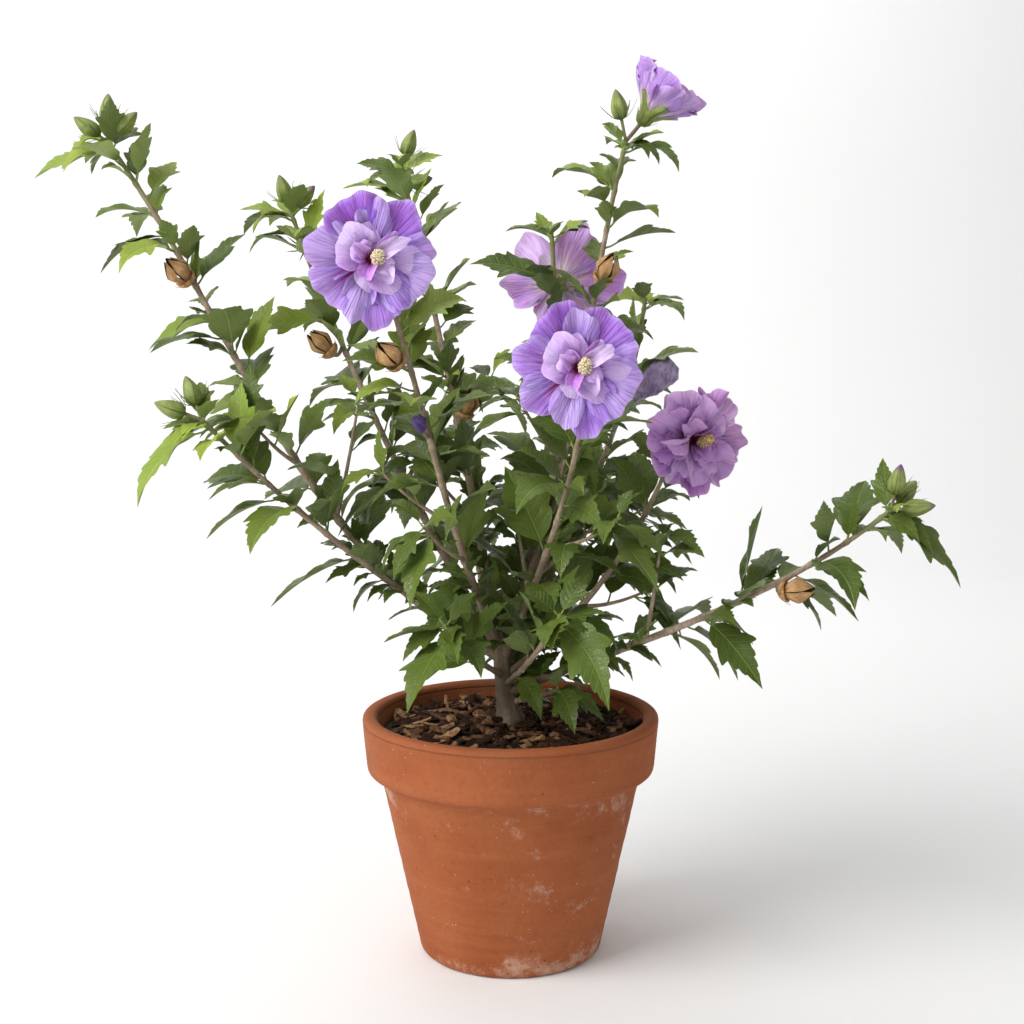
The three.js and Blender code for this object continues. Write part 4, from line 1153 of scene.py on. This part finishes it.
def hung(places, size, upright=0.0):  # number, root, foot and way of every bud or pod
    number = 0
    for stemName, spots in places.items():
        for share, x, y, z in spots:
            number += 1
            line = lines[stemName]
            root = line.point(min(share, 1 - 1 * mm / line.size))
            middle = line.point(share) + Vector((x, y, z)) * mm
            way = ((middle - root).normalized() + line.tangent(share) * upright).normalized()
            yield number, root, middle - way * size / 2 * mm, way


def ribbed(twist):
    def shape(radius, height, angle, row):
        rib = 0.15 * abs(math.cos(2.5 * angle + 0.05 * height * twist)) ** 0.8 - 0.06
        return radius * (1 + rib), height
    return shape


for number, root, foot, way in hung(buds, budShape["length"]):
    matrix = seat(way, foot)
    twist = wobble(number, 0.4)
    tone = 1.0 if number in budShape["flushed"] else 0.15 + 0.3 * twist
    turned(budHeap, matrix, budShape["profile"], 30, ribbed(twist), tone)
    bracts(budHeap, matrix, 15, 0.8, 2.6, 0.75)
    bentStalk(root, foot + way * mm, way, 1.15, 7, 0.9, 0.3, 6)


def budFinish():
    made = Finish("buds", 0.55)
    across, along = made.parts(made.flat())[:2]
    streak = made.grain(made.flat((16, 1.2, 1)), 2.0, 3.0)
    cloud = made.grain(made.place(), 190.0, 3.0)
    seam = made.ramp(abs(across.work("SINE", across * (math.pi * 5))), 0.0, 0.3, 1.0, 0.0)
    made.paint(made.ramp(streak * 0.6 + cloud * 0.5, 0.35, 0.75), "6a7e36", "9ba65a")
    made.over(seam * 0.6, "3f5424")
    made.over(made.ramp(along, 0.0, 0.35, 0.5, 0.0), "4a6128")
    made.over(made.ramp(along + streak * 0.25, 0.74, 1.05) * made.ramp(made.named(), 0.1, 0.8), "7d4a86")
    made.bump(streak + cloud * 0.5, 0.0006)
    return made


green = budFinish()
settle(calyces.finish("calyces", [green]), "foliage")
settle(budHeap.finish("buds", [green]), "foliage")

for number, root, foot, way in hung(pods, podShape["length"], 1.3):
    matrix = seat(way, foot)
    s, t = grid(12, 9)
    for valve in range(podShape["valves"]):
        draw = wobble(number, valve * 0.3)
        belly = np.sin(np.minimum(s * 1.3 + 0.12, 1.0) * math.pi / 2)
        belly = belly - (0.62 + 0.2 * draw) * np.maximum(s - 0.56, 0) / 0.44
        bulge = np.sin(np.minimum(s * 1.2, 1) * math.pi) ** 2
        taper = np.clip((1.06 - s) / 0.3, 0.05, 1) ** 0.7 * (0.98 - 0.2 * bulge * draw)
        angle = circle * valve / podShape["valves"] + t * (math.pi / podShape["valves"]) * 0.97 * taper
        ridge = 1 + 0.1 * (1 - np.abs(t)) ** 1.5 + 0.07 * np.abs(t) ** 6
        reach = podShape["radius"] * belly * ridge
        level = podShape["foot"] + s * (podShape["length"] - podShape["foot"])
        places = [reach * np.cos(angle) * mm, reach * np.sin(angle) * mm, level * mm]
        laid(podHeap, matrix, places, s, t, podShape["thick"], draw, (0, 1))
    bracts(podHeap, matrix, 9, 0.8, 3.2, 0.7)
    turned(podHeap, matrix, podShape["cup"], 20, fluted(0.05), 0.1)
    bentStalk(root, foot + way * mm, way, 1.5, 8, 0.3, 0.5, 6)


def podFinish(name, roughness, deep, pale):
    made = Finish(name, roughness)
    streak = made.grain(made.flat((10, 1.5, 1)), 3.0, 4.0)
    cloud = made.grain(made.place(), 150.0, 3.0)
    made.paint(made.ramp(streak * 0.7 + cloud * 0.5, 0.4, 0.8), deep, pale)
    made.bump(streak + cloud * 0.6, 0.0008)
    return made


podFinishes = [podFinish("pods", 0.8, "ab7a4a", "e0b680"), podFinish("pod_inside", 0.85, "4a2e18", "8a6038")]
settle(podHeap.finish("seed_pods", podFinishes), "bark")
settle(blossomStalks.finish("blossom_stalks", [barkFinish]), "bark")
settle(twigs.finish("twigs", [barkFinish]), "bark")

# The pot is turned from its profile, a little out of true.

potLooks = {"sides": 180, "waver": 0.25, "turning": 0.09, "dent": 0.25, "inset": 0.35}


def straight(end, count):
    start = profile[-1]
    for i in range(1, count + 1):
        profile.append(tuple(a + (b - a) * i / count for a, b in zip(start, end)))


def curved(control, end, count):
    start = profile[-1]
    for i in range(1, count + 1):
        s = i / count
        corners = zip(start, control, end)
        profile.append(tuple((1 - s) ** 2 * a + 2 * s * (1 - s) * b + s * s * c for a, b, c in corners))


profile = [(0.0, 0.0)]
height, rim, lip, foot, mouth = (pot[key] for key in ("height", "rim", "lip", "foot", "mouth"))
straight((foot - pot["corner"], 0), 4)
curved((foot - 0.6, 0), (foot, pot["corner"]), 6)
straight((pot["shoulder"], pot["shoulderTop"] - 1), 46)
curved((pot["shoulder"] + 0.8, pot["shoulderTop"] + 3), (pot["band"] - 3.2, pot["bandBottom"] - 1.6), 6)
curved((pot["band"] - 0.4, pot["bandBottom"] - 1.2), (pot["band"] + 0.1, pot["bandBottom"] + 2), 5)
straight((rim, height - lip), 18)
curved((rim, height), (rim - lip, height), 7)
curved((mouth, height), (mouth, height - lip), 7)
straight((pot["well"], pot["floor"]), 20)
straight((0, pot["floor"]), 3)
points = []
for radius, level in profile[1:-1]:
    for side in range(potLooks["sides"]):
        angle = circle * side / potLooks["sides"]
        drift = potLooks["waver"] * (math.sin(2 * angle + 1) + 0.5 * math.sin(3 * angle + level * 0.02))
        ripple = potLooks["turning"] * math.sin(level * 1.9) * (radius > 60) * (level > 8)
        spot = Vector((math.cos(angle) * 3, math.sin(angle) * 3, level * 0.05))
        ripple += potLooks["dent"] * noise.noise(spot)
        r = radius - potLooks["inset"] + (drift * 0.4 + ripple) * (level > 0.5)
        points.append((r * math.cos(angle) * mm, r * math.sin(angle) * mm, level * mm))
points += [(0, 0, 0), (0, 0, pot["floor"] * mm)]
potHeap = Heap()
potHeap.add(points, closedFaces(len(profile) - 2, potLooks["sides"]))


def clayFinish():
    clay = Finish("terracotta", 0.85, Specular_IOR_Level=0.25)
    place = clay.place()
    level = clay.parts(place)[2]

    def patches(scale, low, high, *detail):
        return clay.ramp(clay.grain(place, scale, *detail), low, high)
    cloud = clay.grain(place, 14.0, 5.0, 0.6)
    fine = clay.grain(place, 320.0, 4.0, 0.65)
    rings = clay.grain(clay.place((1, 1, 26)), 5.0, 4.0, 0.6)
    clay.paint(clay.ramp(cloud, 0.3, 0.7), "98512c", "a75f39")
    clay.over(clay.ramp(rings, 0.4, 0.7) * 0.3, "b06c45")
    clay.over(clay.ramp(fine, 0.45, 0.75) * 0.35, "884627")
    underBand = clay.ramp(level, 0.098, 0.13) * clay.ramp(level, 0.128, 0.136, 1.0, 0.0)
    atFoot = clay.ramp(level, 0.0, 0.03, 1.0, 0.0)
    onBody = clay.ramp(level, 0.03, 0.07) * clay.ramp(level, 0.09, 0.125, 1.0, 0.35)
    limeReach = underBand * 0.1 + atFoot * 0.13 + onBody * 0.03 + clay.grain(place, 9.0) * 0.3
    lime = clay.ramp(clay.grain(place, 48.0, 8.0, 0.78) + limeReach, 0.74, 0.93)
    clay.over(lime * 0.52, "dcc0ac")
    speck = clay.ramp(clay.cells(place, 210.0) + clay.grain(place, 900.0) * 0.2, 0.1, 0.22, 1.0, 0.0)
    clay.over(speck * patches(34.0, 0.5, 0.6) * 0.7, "efe3d6")
    pit = clay.ramp(clay.cells(place, 150.0), 0.04, 0.12, 1.0, 0.0) * patches(45.0, 0.52, 0.62)
    clay.over(pit * 0.75, "4b2f22")
    clay.over(patches(17.0, 0.54, 0.7, 6.0, 0.7) * clay.ramp(level, 0.12, 0.14) * 0.45, "7a6558")
    damp = clay.ramp(level, 0.155, 0.171)
    clay.over(damp * clay.ramp(cloud, 0.4, 0.6) * 0.25, "7d5640")
    # painted shade: a thin darker line in the groove where the lip starts, with the same groove cut in the
    # relief
    groove = clay.ramp(level, 0.1657, 0.1666) * clay.ramp(level, 0.1666, 0.1678, 1.0, 0.0)
    clay.over(groove * 0.25, "6f3d24")
    clay.bump(fine * 0.5 + rings * 0.7 - pit * 1.0 + lime * 0.25 - groove * 1.2, 0.0007, 0.8)
    return clay


settle(potHeap.finish("clay_pot", [clayFinish()]), "terracotta", "pot")

# Mulch: soil with a rough surface, and chips of bark that lie on it.

mulch = {
    "rings": 46, "sides": 120, "bump": 2.2, "bottom": 120, "gap": 0.9, "chips": 520, "chipLow": 0.45,
    "chipHigh": 1.9, "tilt": 0.32, "seed": 11, "bedRings": 12, "bedSides": 60, "bedReach": 0.965,
    # length, width and thickness of each kind of chip
    "kinds": [(11, 5.5, 2.2), (16, 4.5, 2.0), (8, 6, 2.6), (13, 7.5, 2.4), (20, 2.2, 1.3), (6, 4, 2.2)],
}


def wellRadius(level):
    share = (level - pot["floor"]) / (height - lip - pot["floor"])
    return (pot["well"] + (mouth - pot["well"]) * share) * mm - mulch["gap"] * mm


soilEdge = wellRadius(ground["edge"])


def dome(rings, sides, reach, rise):
    points = []
    for row in range(1, rings + 1):
        share = row / rings * reach
        swell = (ground["crown"] - ground["edge"]) * (1 - share ** 1.6) + ground["edge"]
        for side in range(sides):
            angle = circle * side / sides
            x, y = math.cos(angle) * soilEdge * share, math.sin(angle) * soilEdge * share
            points.append((x, y, rise(x, y, swell, share) * mm))
    return points


def lumps(x, y):
    return noise.noise(Vector((x * 130, y * 130, 2)))


def soilRise(x, y, swell, share):
    rough = lumps(x, y) + 0.6 * noise.noise(Vector((x * 380, y * 380, 5)))
    return swell + rough * mulch["bump"] * (1 - share ** 8) - 0.6


def bedRise(x, y, swell, share):
    return swell + 0.7 + 1.4 * lumps(x, y)


sides = mulch["sides"]
points = [(0, 0, ground["crown"] * mm)] + dome(mulch["rings"], sides, 1, soilRise)
deep = len(points)
deepEdge, deepLevel = wellRadius(mulch["bottom"]), mulch["bottom"] * mm
soilFaces = discFaces(mulch["rings"], sides)
for side in range(sides):
    angle = circle * side / sides
    points.append((math.cos(angle) * deepEdge, math.sin(angle) * deepEdge, deepLevel))
points.append((0, 0, deepLevel))
for side in range(sides):
    after = (side + 1) % sides
    a, b, c, d = deep - sides + side, deep - sides + after, deep + after, deep + side
    soilFaces += [(a, d, c), (a, c, b), (deep + sides, c, d)]
soilHeap = Heap()
soilHeap.add(points, soilFaces)


def soilFinish():
    made = Finish("soil", 0.95)
    crumb = made.grain(made.place(), 260.0, 5.0, 0.7)
    made.paint(made.ramp(crumb, 0.35, 0.7), "1c120c", "3d2b1e")
    made.bump(crumb, 0.002)
    return made


settle(soilHeap.finish("soil_surface", [soilFinish()]), "soil", "soil")


def chipLook():
    made = Finish("bark_chips", 0.9, Specular_IOR_Level=0.2)
    grain = made.grain(made.place((1, 0.3, 1)), 600.0, 4.0, 0.6)
    tone = made.named("chipTone") * 0.8 + made.grain(made.place(), 130.0, 3.0) * 0.3
    made.base = made.node("ShaderNodeValToRGB", sockets={0: tone})
    ramp = made.base.socket.node.color_ramp
    ends = {0.0: ramp.elements[0], 1.0: ramp.elements[1]}
    for place, colour in ((0.0, "170c05"), (1.0, "b98f66"), (0.55, "3a2212"), (0.8, "76533a")):
        element = ends.get(place) or ramp.elements.new(place)
        element.color = shade(colour)
    made.over(made.ramp(grain, 0.45, 0.7) * 0.6, "2a160a")
    made.bump(grain, 0.0018)
    return made


chipFinish = chipLook()
chipSection = ((1, 0.2), (0.45, 1), (-0.4, 0.9), (-1, 0.1), (-0.5, -0.9), (0.5, -0.8))


def chipShape(name, seed, length, width, thick, count=7):
    draws = random.Random(seed)
    rows = []
    for row in range(count):
        share = row / (count - 1) - 0.5
        half = width * (0.55 + 0.45 * math.sin(math.pi * (row + 0.6) / count)) * draws.uniform(0.8, 1.1) * 0.5
        tall = thick * draws.uniform(0.7, 1.2) * 0.5
        bend = 0.12 * length * share ** 2
        for a, b in chipSection:
            x = share * length + draws.uniform(-0.3, 0.3)
            rows.append((x, half * a, bend + tall * b + draws.uniform(-0.15, 0.15)))
    rows += [(-length / 2, 0, 0), (length / 2, 0, 0)]
    heap = Heap()
    heap.add(np.array(rows) * mm, [face[::-1] for face in closedFaces(count, len(chipSection))])
    return heap.finish(name, [chipFinish], smooth=False)


chipSet = bpy.data.collections.new("chip_shapes")
bpy.context.scene.collection.children.link(chipSet)
for index, kind in enumerate(mulch["kinds"]):
    chip = chipShape(f"chip_{index}", index, *kind)
    bpy.context.scene.collection.objects.unlink(chip)
    chipSet.objects.link(chip)


def scatterTree(name, finish):
    tree = bpy.data.node_groups.new(name, "GeometryNodeTree")
    face = tree.interface
    face.new_socket("Geometry", in_out="INPUT", socket_type="NodeSocketGeometry")
    ids = {}
    kinds = {"Shapes": "Collection", "Count": "Float", "Smallest": "Float", "Largest": "Float", "Seed": "Int"}
    for label, kind in kinds.items():
        ids[label] = face.new_socket(label, in_out="INPUT", socket_type=f"NodeSocket{kind}").identifier
    face.new_socket("Geometry", in_out="OUTPUT", socket_type="NodeSocketGeometry")

    def new(kind, **sockets):  # a node with its links and values
        made = tree.nodes.new(kind)
        for key, value in sockets.items():
            put(made.inputs[key.replace("_", " ")], value)
        return made

    def put(socket, value):
        if isinstance(value, bpy.types.NodeSocket):
            tree.links.new(value, socket)
        else:
            socket.default_value = value

    def enabled(sockets, label=None):
        return next(s for s in sockets if s.enabled and label in (None, s.name))

    def draw(kind, low, high, shift):
        made = new("FunctionNodeRandomValue")
        made.data_type = kind
        add = new("ShaderNodeMath")
        put(add.inputs[0], given["Seed"])
        put(add.inputs[1], shift)
        put(made.inputs["Seed"], add.outputs[0])
        put(enabled(made.inputs, "Min"), low)
        put(enabled(made.inputs, "Max"), high)
        return enabled(made.outputs)

    given = new("NodeGroupInput").outputs
    spots = new(
        "GeometryNodeDistributePointsOnFaces",
        Mesh=given["Geometry"], Density=given["Count"], Seed=given["Seed"],
    )
    shapes = new(
        "GeometryNodeCollectionInfo",
        Collection=given["Shapes"], Separate_Children=True, Reset_Children=True,
    )
    place = new(
        "GeometryNodeInstanceOnPoints",
        Points=spots.outputs["Points"], Instance=shapes.outputs[0], Pick_Instance=True,
    )
    tilt = mulch["tilt"]
    put(place.inputs["Instance Index"], draw("INT", 0, len(mulch["kinds"]) - 1, 1))
    put(place.inputs["Rotation"], draw("FLOAT_VECTOR", (-tilt, -tilt, 0), (tilt, tilt, circle), 2))
    put(place.inputs["Scale"], draw("FLOAT", given["Smallest"], given["Largest"], 3))
    store = new("GeometryNodeStoreNamedAttribute", Name="chipTone", Geometry=place.outputs[0])
    store.data_type, store.domain = "FLOAT", "INSTANCE"
    put(enabled(store.inputs, "Value"), draw("FLOAT", 0.0, 1.0, 4))
    real = new("GeometryNodeRealizeInstances", Geometry=store.outputs[0])
    dress = new("GeometryNodeSetMaterial", Geometry=real.outputs[0], Material=finish.material)
    new("NodeGroupOutput", Geometry=dress.outputs[0])
    return tree, ids


bedHeap = Heap()  # the chips lie on a plain copy of the soil's middle
points = [(0, 0, (ground["crown"] + 0.6) * mm)]
points += dome(mulch["bedRings"], mulch["bedSides"], mulch["bedReach"], bedRise)
bedHeap.add(points, discFaces(mulch["bedRings"], mulch["bedSides"]))
bed = bedHeap.finish("chip_bed", [chipFinish])
chipTree, chipIds = scatterTree("scatter_chips", chipFinish)
modifier = bed.modifiers.new("chips", "NODES")
modifier.node_group = chipTree
for label, value in {
    "Shapes": chipSet, "Count": mulch["chips"] / (math.pi * soilEdge ** 2), "Smallest": mulch["chipLow"],
    "Largest": mulch["chipHigh"], "Seed": mulch["seed"],
}.items():
    modifier[chipIds[label]] = value
bpy.context.view_layer.update()
chipMesh = bpy.data.meshes.new_from_object(bed.evaluated_get(bpy.context.evaluated_depsgraph_get()))
bed.modifiers.clear()
for leftover in [bed] + list(chipSet.objects):
    bpy.data.objects.remove(leftover)
bpy.data.collections.remove(chipSet)
chipMesh.name = "bark_chips"
chips = bpy.data.objects.new("bark_chips", chipMesh)
bpy.context.scene.collection.objects.link(chips)
print("bark_chips", len(chipMesh.polygons), "faces")
settle(chips, "soil")

# The studio: a pale sheet that bends up behind the plant, and soft lamps.

studio = {
    "width": 9, "front": -3.0, "wall": 2.6, "bend": 0.9, "top": 3.4, "world": 0.45,
    # place, target, size, power and colour
    "key": ((-1.5, -0.9, 1.5), (0, 0, 0.35), 1.5, 48.0, (1.0, 0.99, 0.975)),
    "fill": ((1.6, -1.3, 0.9), (0, 0, 0.3), 1.2, 1.5, (0.96, 0.98, 1.0)),
    "back": ((-0.4, 1.1, 2.2), (0.1, 2.4, 0.9), 1.4, 27.0, (1, 1, 1)),
}
bend, turnAt = studio["bend"], studio["wall"] - studio["bend"]
rows = [(studio["front"], 0.0), (turnAt, 0.0)]
for i in range(1, 17):
    angle = math.pi / 2 * i / 16
    rows.append((turnAt + bend * math.sin(angle), bend * (1 - math.cos(angle))))
rows.append((studio["wall"], studio["top"]))
faces = []
for i in range(0, 2 * len(rows) - 2, 2):
    faces += [(i, i + 1, i + 3), (i, i + 3, i + 2)]
backdrop = Heap()
backdrop.add([(x, y, z) for y, z in rows for x in (-studio["width"] / 2, studio["width"] / 2)], faces)
paper = Finish("paper", 0.9, Specular_IOR_Level=0.1)
paper.paint(paper.grain(paper.place(), 2.0), "efefef", "f2f2f2")
backdrop.finish("backdrop", [paper])

for name in ("key", "fill", "back"):
    place, target, size, power, colour = studio[name]
    data = bpy.data.lights.new(name, "AREA")
    data.energy, data.size, data.color = power, size, colour
    lamp = bpy.data.objects.new(name, data)
    lamp.location = place
    lamp.rotation_euler = (Vector(target) - Vector(place)).to_track_quat("-Z", "Y").to_euler()
    bpy.context.scene.collection.objects.link(lamp)
world = bpy.data.worlds.new("studio")
world.use_nodes = True
background = world.node_tree.nodes["Background"].inputs
background[0].default_value, background[1].default_value = (1, 1, 1, 1), studio["world"]
bpy.context.scene.world = world
bpy.context.scene.view_settings.view_transform = "Standard"
